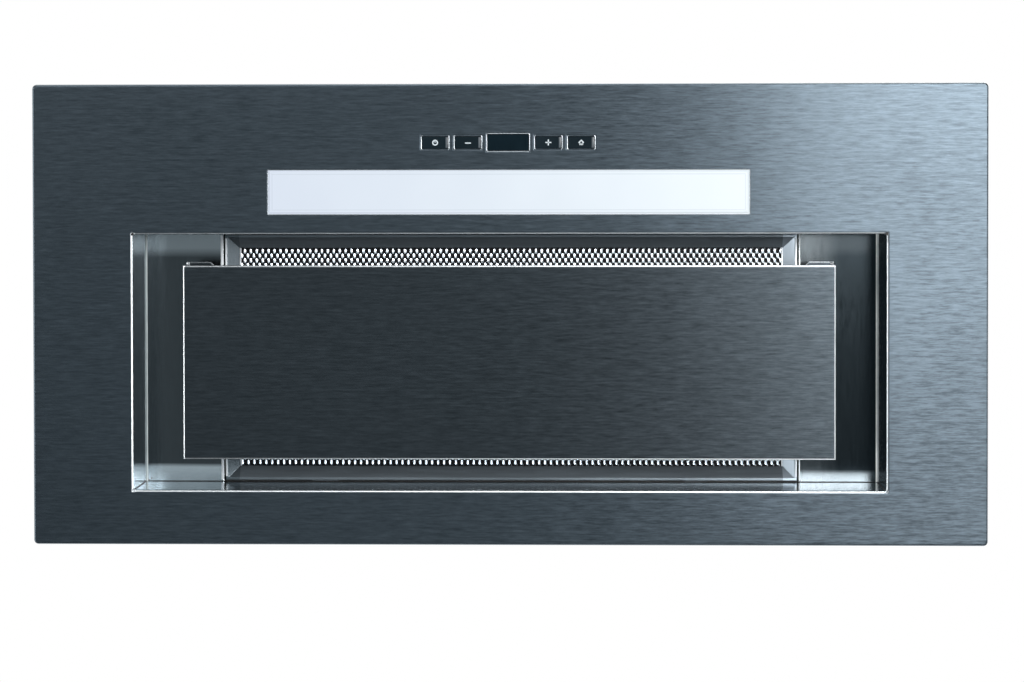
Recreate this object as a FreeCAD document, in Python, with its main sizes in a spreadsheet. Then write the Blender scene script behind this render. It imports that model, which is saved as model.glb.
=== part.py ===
import FreeCAD, Part
import math
import os

import Sketcher

# Built-in range hood that looks down from the bottom of a wall cabinet.
# Millimetres. +Z is up in use, -Y is the front edge over the cook, and the
# origin is the middle of the fascia's visible underside, at z = 0.

V = FreeCAD.Vector
doc = FreeCAD.newDocument("range_hood")

SIZES = {
    # Fascia: one sheet with a folded rim and the walls of the recess
    "fascia_width": 600,
    "fascia_depth": 290,
    "steel": 1,
    "rim_height": 5,
    "fascia_corner": 3,
    "fold_radius": 1.6,
    "side_band": 63.5,
    "front_band": 94.5,
    "rear_band": 34.5,
    "recess_height": 35,
    "relief_radius": 1.1,
    # Floor of the recess, with the well that the grease filter closes
    "floor_margin": 10,
    "floor_shelf": 50.4,
    "well_lip": 4,
    "lip_gap": 22,
    # Grease filter
    "filter_side_gap": 1.2,
    "filter_end_gap": 1,
    "filter_rim": 1.5,
    "bevel_width": 7,
    "bevel_height": 4.6,
    "funnel_height": 5,
    "cassette_height": 4,
    "cassette_wall": 4,
    "cassette_gap": 0.3,
    "top_lip": 1,
    "mesh_sheet": 0.8,
    "mesh_strand": 3.5,
    "tab_rest": 0.2,
    "hook_reach": 8,
    "hook_width": 16,
    "hook_offset": 120,
    "hook_sheet": 1,
    # Filter latches, one at each end, and the blades that they snap over
    "latch_line": 50.5,
    "latch_clear": 1,
    "handle_length": 24,
    "handle_width": 32,
    "handle_height": 3.8,
    "handle_wall": 2,
    "tongue_width": 12,
    "tongue_sheet": 1.6,
    "tongue_lift": 2,
    "tongue_short": 0.3,
    "channel_depth": 3.2,
    "channel_gap": 0.4,
    "slot_gap": 0.3,
    "slide_room": 1.5,
    "leaf_sheet": 0.4,
    "leaf_bow": 5.6,
    "leaf_width": 2.9,
    "blade_gap": 0.3,
    "blade_seat": 14,
    "blade_width": 16,
    "blade_sheet": 0.6,
    "rivet_radius": 1.6,
    "rivet_head": 3,
    "rivet_cap": 0.8,
    "hole_gap": 0.05,
    # Hinged cover plate under the filter
    "cover_side_gap": 31.5,
    "cover_end_gap": 19.5,
    "cover_fold": 1.2,
    "hem_height": 4,
    "flange_height": 15,
    "tab_width": 18,
    "tab_length": 20,
    "tab_nose": 1.7,
    "tab_corner": 3,
    "nose_height": 4,
    "hinge_height": 10,
    "hinge_inset": 5,
    "pin_radius": 2,
    "pin_gap": 0.1,
    "pin_overhang": 1.2,
    "bracket_sheet": 1.5,
    "bracket_gap": 0.5,
    "bracket_width": 14,
    "bracket_tip": 3,
    "foot_length": 13.5,
    "rivet_spacing": 8,
    # Magnetic catches at the front corners of the cover
    "magnet_radius": 5,
    "magnet_height": 2,
    "magnet_air": 0.3,
    "magnet_inset": 9,
    "post_wall": 1,
    "spigot_radius": 2,
    # Light
    "light_width": 302,
    "light_span": 27.6,
    "light_inset": 68,
    "diffuser_gap": 0.5,
    "diffuser_ledge": 2,
    "diffuser_flange": 1.5,
    "diffuser_bevel": 0.8,
    "tray_gap": 0.5,
    "tray_wall": 0.8,
    "tray_height": 17,
    "board_sheet": 1.6,
    "strip_width": 12,
    "strip_inset": 4,
    "chip_size": 4,
    "chip_height": 1.2,
    "driver_length": 90,
    "driver_width": 24,
    "driver_height": 20,
    "driver_inset": 100,
    "driver_foot": 8,
    # Push buttons and display
    "control_inset": 37,
    "display_width": 27.6,
    "display_span": 12,
    "display_to_button": 25.2,
    "button_pitch": 20.6,
    "button_width": 18.2,
    "button_span": 9.4,
    "bezel_gap": 0.1,
    "bezel_wall": 0.6,
    "bezel_flange": 0.9,
    "bezel_sheet": 1.2,
    "cap_gap": 0.15,
    "cap_recess": 0.2,
    "cap_round": 0.4,
    "cap_collar": 1,
    "collar_play": 0.1,
    "collar_reach": 0.6,
    "stem_radius": 2.5,
    "stem_top": 10.1,
    "stem_gap": 0.3,
    "switch_gap": 0.9,
    "switch_size": 6,
    "window_recess": 0.4,
    "window_sheet": 1,
    "window_ledge": 0.5,
    "module_gap": 0.1,
    "module_inset": 0.6,
    "module_room": 1,
    "frame_width": 120,
    "frame_span": 24,
    "frame_wall": 1.5,
    "frame_top": 14,
    "web_level": 5,
    "web_sheet": 1.2,
    "board_inset": 0.5,
    "box_air": 0.5,
    "box_end_air": 9,
    "control_box_height": 25,
    # Casings
    "casing_side": 22,
    "casing_end": 20,
    "casing_height": 60,
    "casing_flange": 10,
    "box_width": 300,
    "box_height": 190,
    "box_flange": 12,
    "stud_radius": 2,
    "stud_height": 7,
    "stud_inset": 5,
    "nut_radius": 4,
    "nut_height": 3.2,
    "stud_side_line": 70,
    "stud_front_line": 140,
    # Cabinet brackets
    "side_bracket_sheet": 1.5,
    "side_bracket_reach": 18,
    "side_bracket_width": 44,
    "side_bracket_height": 16,
    "cabinet_board": 18,
    "bracket_hole": 2.25,
    "hole_line": 12,
    "hole_reach": 12,
    # Duct collar and its two flaps
    "collar_radius": 75,
    "collar_wall": 1.5,
    "collar_height": 38,
    "collar_flange": 13,
    "collar_sheet": 1.5,
    "hole_lip": 0.5,
    "ledge_level": 9,
    "ledge_width": 3,
    "ledge_height": 2,
    "flap_play": 0.2,
    "flap_sheet": 1,
    "flap_gap": 0.5,
    "flap_pin": 1.5,
    "flap_pin_gap": 0.1,
    "flap_axis": 5.5,
    "pin_short": 0.8,
    "crossbar_half": 3,
    "crossbar_height": 3.5,
    # Blower
    "blower_front": 76,
    "blower_level": 145,
    "scroll_width": 110,
    "scroll_start": 60,
    "scroll_end": 86,
    "outlet_offset": 6,
    "scroll_shell": 1.5,
    "outlet_flange": 8,
    "inlet_radius": 48,
    "wheel_radius": 55,
    "wheel_bore": 46,
    "wheel_width": 96,
    "wheel_disc": 3,
    "wheel_ring": 2,
    "blade_thick": 1,
    "blade_camber": 2.4,
    "blade_sink": 0.5,
    "hub_radius": 10,
    "hub_length": 14,
    "shaft_radius": 4,
    "shaft_length": 50,
    "shaft_gap": 0.1,
    "motor_radius": 36,
    "motor_length": 70,
    "motor_air": 6,
    "motor_round": 5,
    "arm_sheet": 2,
    "arm_width": 14,
    "arm_ring": 3,
    "arm_tip": 6,
    "grommet_radius": 4.5,
    "grommet_height": 3,
    "grommet_line": 53.5,
    # Electrics on the casings
    "capacitor_radius": 15,
    "capacitor_length": 55,
    "capacitor_inset": 50,
    "capacitor_level": 80,
    "clip_sheet": 1.2,
    "clip_width": 12,
    "clip_foot": 14,
    "clip_air": 0.5,
    "clip_play": 0.05,
    "terminal_gap": 15,
    "terminal_side": 23,
    "terminal_span": 60,
    "terminal_height": 35,
    "terminal_wall": 2,
    "terminal_row": 40,
    "lid_sheet": 2,
    "lid_inset": 4.5,
    "gland_radius": 6,
    "gland_bore": 4,
    "gland_hex": 10,
    "gland_hex_width": 5,
    "gland_nut": 9,
    "gland_nut_width": 12,
    "gland_inside": 6,
    # Screws
    "screw_radius": 1.5,
    "screw_head": 3,
    "screw_cap": 2,
    "screw_length": 6,
    "screw_line": 60,
    # How far a cut runs past the face that it opens
    "overrun": 1,
}

# The points of a sketch's edge, in the order in which rules number them
EDGE_POINTS = ["whole", "start", "end", "centre"]
START_POINT = EDGE_POINTS.index("start")
END_POINT = EDGE_POINTS.index("end")
CENTRE_POINT = EDGE_POINTS.index("centre")

BLADES = 32
MOTOR_ARMS = 3
MESH_COLUMNS = 24
MESH_ROWS = 12
LED_CHIPS = 24
COLLAR_SCREWS = 6
HEXAGON = 6
BLADE_LEAN_SHARE = 0.12
MESH_STAGGER_SHARE = 0.25
BRACKET_SCREW_SHARE = 0.625


class Size:
    """A length that knows both its number and its formula on the sheet."""

    def __init__(self, value, text):
        self.value = value
        self.text = text

    def __add__(self, other):
        other = size(other)
        return Size(self.value + other.value, f"({self.text} + {other.text})")

    def __radd__(self, other):
        return size(other) + self

    def __sub__(self, other):
        other = size(other)
        return Size(self.value - other.value, f"({self.text} - {other.text})")

    def __rsub__(self, other):
        return size(other) - self

    def __mul__(self, factor):
        return Size(self.value * factor, f"({self.text} * {factor!r})")

    __rmul__ = __mul__

    def __truediv__(self, factor):
        return Size(self.value / factor, f"({self.text} / {factor!r})")

    def __neg__(self):
        return self * -1


def size(thing):
    """A plain number as a Size, and a Size as it is."""
    if isinstance(thing, Size):
        return thing
    return Size(thing, repr(thing))


class Sheet:
    """The spreadsheet of driving dimensions, each cell read by its alias."""

    def __init__(self, table):
        self.cells = doc.addObject("Spreadsheet::Sheet", "Sizes")
        for row, (alias, value) in enumerate(table.items(), 1):
            self.cells.set(f"A{row}", alias)
            self.cells.set(f"B{row}", str(value))
            self.cells.setAlias(f"B{row}", alias)
        doc.recompute()

    def __getattr__(self, alias):
        return Size(float(self.cells.get(alias)), f"Sizes.{alias}")


d = Sheet(SIZES)
pieces = {}


def tie(thing, field, length):
    """Bind one field of an object to a formula on the sheet."""
    thing.setExpression(field, size(length).text)


def box_loop(x_low, x_high, y_low, y_high):
    """A rectangle given by its sides."""
    return [(x_low, y_low), (x_high, y_low), (x_high, y_high), (x_low, y_high)]


def rectangle(width, span, x=0, y=0):
    """A rectangle given by its size and its middle."""
    return box_loop(x - width / 2, x + width / 2, y - span / 2, y + span / 2)


def circle(x, y, radius):
    """A circle in a sketch."""
    return (x, y, radius)


def hexagon(x, y, radius):
    """A hexagon with its corners on a circle of this radius."""
    turns = [math.radians(360 / HEXAGON * corner) for corner in range(HEXAGON)]
    return [(x + radius * math.cos(turn), y + radius * math.sin(turn)) for turn in turns]


def spoke(x, y, inner, outer, width, angle):
    """A straight arm from one radius to another, turned about (x, y)."""
    along = (math.cos(math.radians(angle)), math.sin(math.radians(angle)))
    corners = [(inner, -width / 2), (outer, -width / 2), (outer, width / 2), (inner, width / 2)]
    return [
        (x + reach * along[0] - side * along[1], y + reach * along[1] + side * along[0])
        for reach, side in corners
    ]


def point_rules(edge, point, x, y):
    """Rules that hold one point of a sketch at a place that follows the sheet."""
    rules = []
    for kind, axis, length in (("DistanceX", -2, size(x)), ("DistanceY", -1, size(y))):
        if length.text == "0":
            rules.append((Sketcher.Constraint("PointOnObject", edge, point, axis), None))
        else:
            rules.append((Sketcher.Constraint(kind, edge, point, length.value), length))
    return rules


def circle_lines(loop, first):
    """The edge of a circle and the rules for its middle and radius."""
    x, y, radius = loop
    spot = V(size(x).value, size(y).value, 0)
    rules = point_rules(first, CENTRE_POINT, x, y)
    rules.append((Sketcher.Constraint("Radius", first, radius.value), radius))
    return [Part.Circle(spot, V(0, 0, 1), radius.value)], rules


def polygon_lines(corners, first):
    """The edges of a closed polygon and the rules for its corners."""
    spots = [V(size(x).value, size(y).value, 0) for x, y in corners]
    count = len(spots)
    edges = [Part.LineSegment(spots[n], spots[(n + 1) % count]) for n in range(count)]
    rules = []
    for number, (x, y) in enumerate(corners):
        edge = first + number
        following = first + (number + 1) % count
        joint = Sketcher.Constraint("Coincident", edge, END_POINT, following, START_POINT)
        rules.append((joint, None))
        rules += point_rules(edge, START_POINT, x, y)
    return edges, rules


class Piece:
    """One body built up from sketches: sheet metal, a moulding or turned work.

    Views: "top" draws in (x, y), "side" in (y, z) and "front" in (x, z).
    """

    PLANES = {"top": "XY_Plane", "side": "YZ_Plane", "front": "XZ_Plane"}

    def __init__(self, label):
        self.body = doc.addObject("PartDesign::Body", label)
        self.body.Label = label
        self.body.AllowCompound = True
        pieces[label] = self.body

    def sketch(self, loops, view, level):
        """Draw closed loops on one of the body's own planes, moved to a level."""
        drawing = self.body.newObject("Sketcher::SketchObject", self.body.Label + "_sketch")
        plane = next(p for p in self.body.Origin.OriginFeatures if p.Role == self.PLANES[view])
        drawing.AttachmentSupport = (plane, [""])
        drawing.MapMode = "FlatFace"
        tie(drawing, "AttachmentOffset.Base.z", level)
        edges = []
        rules = []
        for loop in loops:
            draw = circle_lines if isinstance(loop, tuple) else polygon_lines
            new_edges, new_rules = draw(loop, len(edges))
            edges += new_edges
            rules += new_rules
        drawing.addGeometry(edges, False)
        drawing.addConstraint([rule for rule, length in rules])
        for number, (rule, length) in enumerate(rules):
            if length is not None:
                tie(drawing, f"Constraints[{number}]", length)
        return drawing

    def pad(self, loops, start, height, view="top"):
        """Add material from a level, upwards, rearwards or to the right."""
        level = -(size(start) + height) if view == "front" else start
        drawing = self.sketch(loops, view, level)
        step = self.body.newObject("PartDesign::Pad", self.body.Label + "_pad")
        step.Profile = drawing
        tie(step, "Length", height)
        self.tip(step)
        return self

    def pocket(self, loops, start, height, view="top"):
        """Cut material away over the same range as pad would fill."""
        before = self.body.Tip.Shape.Volume
        level = -size(start) if view == "front" else size(start) + height
        drawing = self.sketch(loops, view, level)
        step = self.body.newObject("PartDesign::Pocket", self.body.Label + "_pocket")
        step.Profile = drawing
        tie(step, "Length", height)
        self.tip(step)
        if not step.Shape.Volume < before:
            raise RuntimeError(f"a pocket in {self.body.Label} cuts nothing")
        return self

    def revolve(self, loops):
        """Turn a profile of (radius, z) all the way round the z axis."""
        drawing = self.sketch(loops, "front", 0)
        step = self.body.newObject("PartDesign::Revolution", self.body.Label + "_turned")
        step.Profile = drawing
        step.ReferenceAxis = (drawing, ["V_Axis"])
        step.Angle = 360
        self.tip(step)
        return self

    def row(self, length, count):
        """Repeat the last step along x."""
        last = self.body.Tip
        step = self.body.newObject("PartDesign::LinearPattern", self.body.Label + "_row")
        step.Originals = [last]
        step.Direction = (last.Profile[0], ["H_Axis"])
        step.Occurrences = count
        tie(step, "Length", length)
        self.tip(step)
        return self

    def tip(self, step):
        self.body.Tip = step
        doc.recompute()

    def edges(self, chosen):
        shape = self.body.Tip.Shape
        return [f"Edge{n}" for n, edge in enumerate(shape.Edges, 1) if chosen(edge.BoundBox)]

    def fillet(self, radius, chosen):
        """Round the edges whose boxes pass the test."""
        base = self.body.Tip
        names = self.edges(chosen)
        step = self.body.newObject("PartDesign::Fillet", self.body.Label + "_round")
        step.Base = (base, names)
        tie(step, "Radius", radius)
        self.tip(step)
        return self

    def chamfer(self, width, height, chosen):
        """Bevel the edges whose boxes pass the test."""
        base = self.body.Tip
        names = self.edges(chosen)
        step = self.body.newObject("PartDesign::Chamfer", self.body.Label + "_bevel")
        step.Base = (base, names)
        step.ChamferType = "Two distances"
        step.FlipDirection = True
        tie(step, "Size", width)
        tie(step, "Size2", height)
        self.tip(step)
        return self


def free_shape(label, shape):
    """A piece whose form no sketch or primitive gives, from Part's own functions."""
    feature = doc.addObject("Part::Feature", label)
    feature.Label = label
    feature.Shape = shape
    feature.Placement = FreeCAD.Placement()
    pieces[label] = feature


NEAR = 1e-3


def near(a, b):
    return abs(a - size(b).value) < NEAR


def upright_at(x, y):
    """A test for the vertical edges at (+-x, +-y)."""
    def chosen(box):
        level = near(box.XMin, box.XMax) and near(box.YMin, box.YMax)
        return level and near(abs(box.XMin), x) and near(abs(box.YMin), y)
    return chosen


def flat_at(level, x_low, x_high, y_low, y_high):
    """A test for the level edges at a height that lie in a frame of these sides."""
    x_low, x_high, y_low, y_high = (size(side).value for side in (x_low, x_high, y_low, y_high))

    def chosen(box):
        if not (near(box.ZMin, level) and near(box.ZMax, level)):
            return False
        inside_x = x_low - NEAR < box.XMin and box.XMax < x_high + NEAR
        inside_y = y_low - NEAR < box.YMin and box.YMax < y_high + NEAR
        return inside_x and inside_y
    return chosen


# Places that several pieces share

recess_width = d.fascia_width - 2 * d.side_band
recess_span = d.fascia_depth - d.front_band - d.rear_band
recess_shift = (d.front_band - d.rear_band) / 2
recess_front = recess_shift - recess_span / 2
recess_rear = recess_shift + recess_span / 2
light_row = d.light_inset - d.fascia_depth / 2
control_row = d.control_inset - d.fascia_depth / 2
casing_width = d.fascia_width - 2 * d.casing_side
casing_span = d.fascia_depth - 2 * d.casing_end
floor_level = d.recess_height
floor_top = d.recess_height + d.steel
well_half = recess_width / 2 - d.floor_shelf
deck_top = d.steel + d.casing_height
box_top = deck_top + d.box_height

filter_width = 2 * (well_half - d.filter_side_gap)
filter_span = recess_span - 2 * d.filter_end_gap
filter_half = filter_width / 2
mesh_level = floor_level + d.funnel_height
cassette_top = mesh_level + d.cassette_height
mesh_margin = d.filter_rim + d.bevel_width
latch_row = recess_front + d.latch_line
latch_level = floor_level + d.latch_clear
tongue_level = floor_level + d.tongue_lift
handle_right = filter_half - mesh_margin - d.slide_room

cover_front = recess_front + d.cover_end_gap
cover_rear = recess_rear - d.cover_end_gap
cover_half = recess_width / 2 - d.cover_side_gap
hinge_row = cover_rear - d.hinge_inset
ear_outer = cover_half - d.steel - d.bracket_gap
ear_inner = ear_outer - d.bracket_sheet
foot_inner = ear_outer - d.foot_length
foot_middle = (foot_inner + ear_inner) / 2
rivet_rows = (hinge_row - d.rivet_spacing / 2, hinge_row + d.rivet_spacing / 2)
catch_x = cover_half - d.tab_width / 2
catch_y = cover_front + d.magnet_inset
blade_tip = filter_half - d.channel_depth + d.blade_gap
blade_end = well_half + d.blade_seat
blade_rivet = (well_half + d.steel + blade_end) / 2

button_offsets = {
    "button_power": -(d.display_to_button + d.button_pitch),
    "button_minus": -d.display_to_button,
    "button_plus": d.display_to_button,
    "button_light": d.display_to_button + d.button_pitch,
}
stud_spots = [(sx * (casing_width / 2 + d.stud_inset), sy * d.stud_side_line)
              for sx in (-1, 1) for sy in (-1, 1)]
stud_spots += [(sx * d.stud_front_line, sy * (casing_span / 2 + d.stud_inset))
               for sx in (-1, 1) for sy in (-1, 1)]
blower_y = d.blower_front - casing_span / 2
scroll_half = d.scroll_width / 2


def fascia_panel():
    """Brushed sheet with the folded rim, the recess walls and welded studs."""
    outline = rectangle(d.fascia_width, d.fascia_depth)
    mouth = rectangle(recess_width, recess_span, 0, recess_shift)
    light = rectangle(d.light_width, d.light_span, 0, light_row)
    display = rectangle(d.display_width, d.display_span, 0, control_row)
    buttons = [rectangle(d.button_width, d.button_span, x, control_row)
               for x in button_offsets.values()]
    rim = rectangle(d.fascia_width - 2 * d.steel, d.fascia_depth - 2 * d.steel)
    walls = rectangle(recess_width + 2 * d.steel, recess_span + 2 * d.steel, 0, recess_shift)
    piece = Piece("fascia_panel")
    piece.pad([outline, mouth, light, display] + buttons, 0, d.steel)
    piece.pad([outline, rim], d.steel, d.rim_height - d.steel)
    piece.pad([walls, mouth], d.steel, d.recess_height - d.steel)
    piece.pad([circle(x, y, d.stud_radius) for x, y in stud_spots], d.steel, d.stud_height)
    half_width = d.fascia_width / 2
    half_depth = d.fascia_depth / 2
    piece.fillet(d.fascia_corner, upright_at(half_width, half_depth))

    def outer_edge(box):
        low = near(box.ZMin, 0) and near(box.ZMax, 0)
        reach = max(abs(box.XMin), abs(box.XMax)) > (half_width - d.fascia_corner - d.steel).value
        depth = max(abs(box.YMin), abs(box.YMax)) > (half_depth - d.fascia_corner - d.steel).value
        return low and (reach or depth)
    piece.fillet(d.fold_radius, outer_edge)
    piece.fillet(d.fold_radius, flat_at(0, -recess_width / 2, recess_width / 2,
                                        recess_front, recess_rear))
    reliefs = [circle(side * recess_width / 2, row, d.relief_radius)
               for side in (-1, 1) for row in (recess_front, recess_rear)]
    piece.pocket(reliefs, -d.overrun, d.overrun + d.steel)


def recess_floor():
    """Plate on top of the recess walls, open over the filter, with upturned lips."""
    outline = rectangle(recess_width + 2 * d.floor_margin, recess_span + 2 * d.floor_margin,
                        0, recess_shift)
    well = rectangle(2 * well_half, recess_span, 0, recess_shift)
    gap_front = latch_row - d.lip_gap / 2
    gap_rear = latch_row + d.lip_gap / 2
    rivet_hole = d.rivet_radius + d.hole_gap
    holes = [circle(side * foot_middle, row, rivet_hole) for side in (-1, 1) for row in rivet_rows]
    holes += [circle(side * catch_x, catch_y, d.spigot_radius + d.hole_gap) for side in (-1, 1)]
    holes += [circle(side * blade_rivet, latch_row, rivet_hole) for side in (-1, 1)]
    piece = Piece("recess_floor")
    piece.pad([outline, well] + holes, floor_level, d.steel)
    lips = [rectangle(d.steel, high - low, side * (well_half + d.steel / 2), (low + high) / 2)
            for side in (-1, 1)
            for low, high in ((recess_front, gap_front), (gap_rear, recess_rear))]
    piece.pad(lips, floor_top, d.well_lip)


def filter_frame():
    """Frame of the grease filter: bevelled mouth, cassette pocket and two rear hooks."""
    outline = rectangle(filter_width, filter_span, 0, recess_shift)
    window = rectangle(filter_width - 2 * mesh_margin, filter_span - 2 * mesh_margin,
                       0, recess_shift)
    pocket = rectangle(filter_width - 2 * d.cassette_wall, filter_span - 2 * d.cassette_wall,
                       0, recess_shift)
    piece = Piece("filter_frame")
    piece.pad([outline, window], floor_level, d.funnel_height)
    half_x = filter_half - mesh_margin
    half_y = filter_span / 2 - mesh_margin
    piece.chamfer(d.bevel_width, d.bevel_height,
                  flat_at(floor_level, -half_x, half_x,
                          recess_shift - half_y, recess_shift + half_y))
    piece.pad([outline, pocket], mesh_level, d.cassette_height)
    piece.pad([outline, window], cassette_top, d.top_lip)
    rear = recess_shift + filter_span / 2
    hooks = [rectangle(d.hook_width, d.hook_reach, side * d.hook_offset, rear + d.hook_reach / 2)
             for side in (-1, 1)]
    piece.pad(hooks, floor_top + d.tab_rest, d.hook_sheet)
    slot = rectangle(d.tongue_width + 2 * d.slot_gap, d.tongue_sheet + 2 * d.slot_gap,
                     latch_row, tongue_level + d.tongue_sheet / 2)
    for start in (half_x - d.overrun, -filter_half - d.overrun):
        piece.pocket([slot], start, mesh_margin + 2 * d.overrun, "side")
    channel_level = floor_top - d.channel_gap
    channel_half = d.blade_width / 2 + d.channel_gap
    channel_inner = filter_half - d.channel_depth
    channel_outer = filter_half + d.overrun
    channels = [box_loop(low, high, latch_row - channel_half, latch_row + channel_half)
                for low, high in ((-channel_outer, -channel_inner), (channel_inner, channel_outer))]
    piece.pocket(channels, channel_level, cassette_top + d.top_lip + d.overrun - channel_level)


def mesh_sheet(label, level):
    """Expanded sheet: one holed face with staggered diamond openings."""
    width = (filter_width - 2 * d.cassette_wall - 2 * d.cassette_gap).value
    span = (filter_span - 2 * d.cassette_wall - 2 * d.cassette_gap).value
    strand = d.mesh_strand.value
    pitch_x = width / (MESH_COLUMNS + 1)
    pitch_y = span / (MESH_ROWS + 1)
    reach_x = (pitch_x - strand) / 2
    reach_y = (pitch_y - strand) / 2
    middle = recess_shift.value
    z = level.value

    def wire(corners):
        points = [V(x, y, z) for x, y in corners]
        return Part.makePolygon(points + points[:1])

    left = -width / 2
    front = middle - span / 2
    outline = wire([(left, front), (-left, front), (-left, front + span), (left, front + span)])
    holes = []
    for row in range(MESH_ROWS):
        y = front + pitch_y * (row + 1)
        stagger = pitch_x * (MESH_STAGGER_SHARE if row % 2 else -MESH_STAGGER_SHARE)
        for column in range(MESH_COLUMNS):
            x = left + pitch_x * (column + 1) + stagger
            holes.append(wire([(x - reach_x, y), (x, y + reach_y), (x + reach_x, y), (x, y - reach_y)]))
    face = Part.Face([outline] + holes)
    free_shape(label, face.extrude(V(0, 0, d.mesh_sheet.value)))


def filter_core():
    """Pack of fine mesh layers between the two outer sheets."""
    Piece("filter_core").pad(
        [rectangle(filter_width - 2 * d.cassette_wall - 2 * d.cassette_gap,
                   filter_span - 2 * d.cassette_wall - 2 * d.cassette_gap, 0, recess_shift)],
        mesh_level + d.mesh_sheet, d.cassette_height - 2 * d.mesh_sheet)


def filter_latches():
    """Sliding finger grips with the tongues that hold the filter's ends."""
    handle_middle = handle_right - d.handle_length / 2
    tongue_left = handle_right - d.handle_wall / 2
    tongue_length = filter_half - d.tongue_short - tongue_left
    rim_depth = tongue_level - latch_level
    for name, side in (("filter_latch_left", -1), ("filter_latch_right", 1)):
        grip = rectangle(d.handle_length, d.handle_width, side * handle_middle, latch_row)
        hollow = rectangle(d.handle_length - 2 * d.handle_wall, d.handle_width - 2 * d.handle_wall,
                           side * handle_middle, latch_row)
        tongue = rectangle(tongue_length, d.tongue_width, side * (tongue_left + tongue_length / 2),
                           latch_row)
        piece = Piece(name)
        piece.pad([grip, hollow], latch_level, rim_depth)
        piece.pad([grip], tongue_level, d.handle_height - rim_depth)
        piece.pad([tongue], tongue_level, d.tongue_sheet)


def latch_springs():
    """Bowed leaves, seated on the mesh, that push the grips outwards."""
    touch = (handle_right - d.handle_length).value
    half = (d.handle_width / 2 - d.handle_wall).value
    middle = latch_row.value
    bow = d.leaf_bow.value
    sheet = d.leaf_sheet.value
    z = (mesh_level - d.leaf_width).value
    leaves = []
    for side in (-1, 1):
        ends = [V(side * (touch - bow), middle - half, z), V(side * (touch - bow), middle + half, z)]
        inner = [end - V(side * sheet, 0, 0) for end in ends]
        outer_arc = Part.Arc(ends[0], V(side * touch, middle, z), ends[1]).toShape()
        inner_arc = Part.Arc(inner[1], V(side * (touch - sheet), middle, z), inner[0]).toShape()
        sides = [Part.makeLine(ends[1], inner[1]), Part.makeLine(inner[0], ends[0])]
        outline = Part.Wire([outer_arc, sides[0], inner_arc, sides[1]])
        leaves.append(Part.Face(outline).extrude(V(0, 0, d.leaf_width.value)))
    free_shape("latch_springs", Part.makeCompound(leaves))


def keeper_springs():
    """Riveted spring blades on the recess floor that the latch tongues rest over."""
    blades = [rectangle(blade_end - blade_tip, d.blade_width, side * (blade_tip + blade_end) / 2,
                        latch_row) for side in (-1, 1)]
    shanks = [circle(side * blade_rivet, latch_row, d.rivet_radius) for side in (-1, 1)]
    caps = [circle(side * blade_rivet, latch_row, d.rivet_head) for side in (-1, 1)]
    piece = Piece("keeper_springs")
    piece.pad(blades, floor_top, d.blade_sheet)
    piece.pad(caps, floor_top + d.blade_sheet, d.rivet_cap)
    piece.pad(shanks, floor_level, d.steel)
    piece.pad(caps, floor_level - d.rivet_cap, d.rivet_cap)


def cover_panel():
    """Hinged plate that hides the filter, with hems, flanges and catch tabs."""
    flange_inner = cover_half - d.steel
    tab_inner = cover_half - d.tab_width
    tab_front = cover_front - d.tab_nose
    tab_rear = tab_front + d.tab_length
    hems = [box_loop(-flange_inner, flange_inner, cover_front, cover_front + d.steel),
            box_loop(-flange_inner, flange_inner, cover_rear - d.steel, cover_rear)]
    flanges = []
    noses = []
    tabs = []
    for side in (-1, 1):
        flanges.append([(side * flange_inner, cover_front), (side * cover_half, cover_front),
                        (side * cover_half, cover_rear), (side * flange_inner, cover_rear)])
        noses.append([(side * flange_inner, tab_front), (side * cover_half, tab_front),
                      (side * cover_half, cover_front), (side * flange_inner, cover_front)])
        tabs.append([(side * cover_half, tab_front), (side * cover_half, tab_rear),
                     (side * tab_inner, tab_rear), (side * tab_inner, tab_front + d.tab_corner),
                     (side * (tab_inner + d.tab_corner), tab_front)])
    piece = Piece("cover_panel")
    piece.pad([box_loop(-cover_half, cover_half, cover_front, cover_rear)], 0, d.steel)
    piece.pad(hems, d.steel, d.hem_height - d.steel)
    piece.pad(flanges, d.steel, d.flange_height - d.steel)
    piece.pad(noses, d.flange_height - d.nose_height, d.nose_height)
    piece.pad(tabs, d.flange_height - d.steel, d.steel)
    piece.pocket([circle(hinge_row, d.hinge_height, d.pin_radius)],
                 -(cover_half + d.overrun), 2 * (cover_half + d.overrun), "side")
    piece.fillet(d.cover_fold, flat_at(0, -cover_half, cover_half, cover_front, cover_rear))


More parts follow.
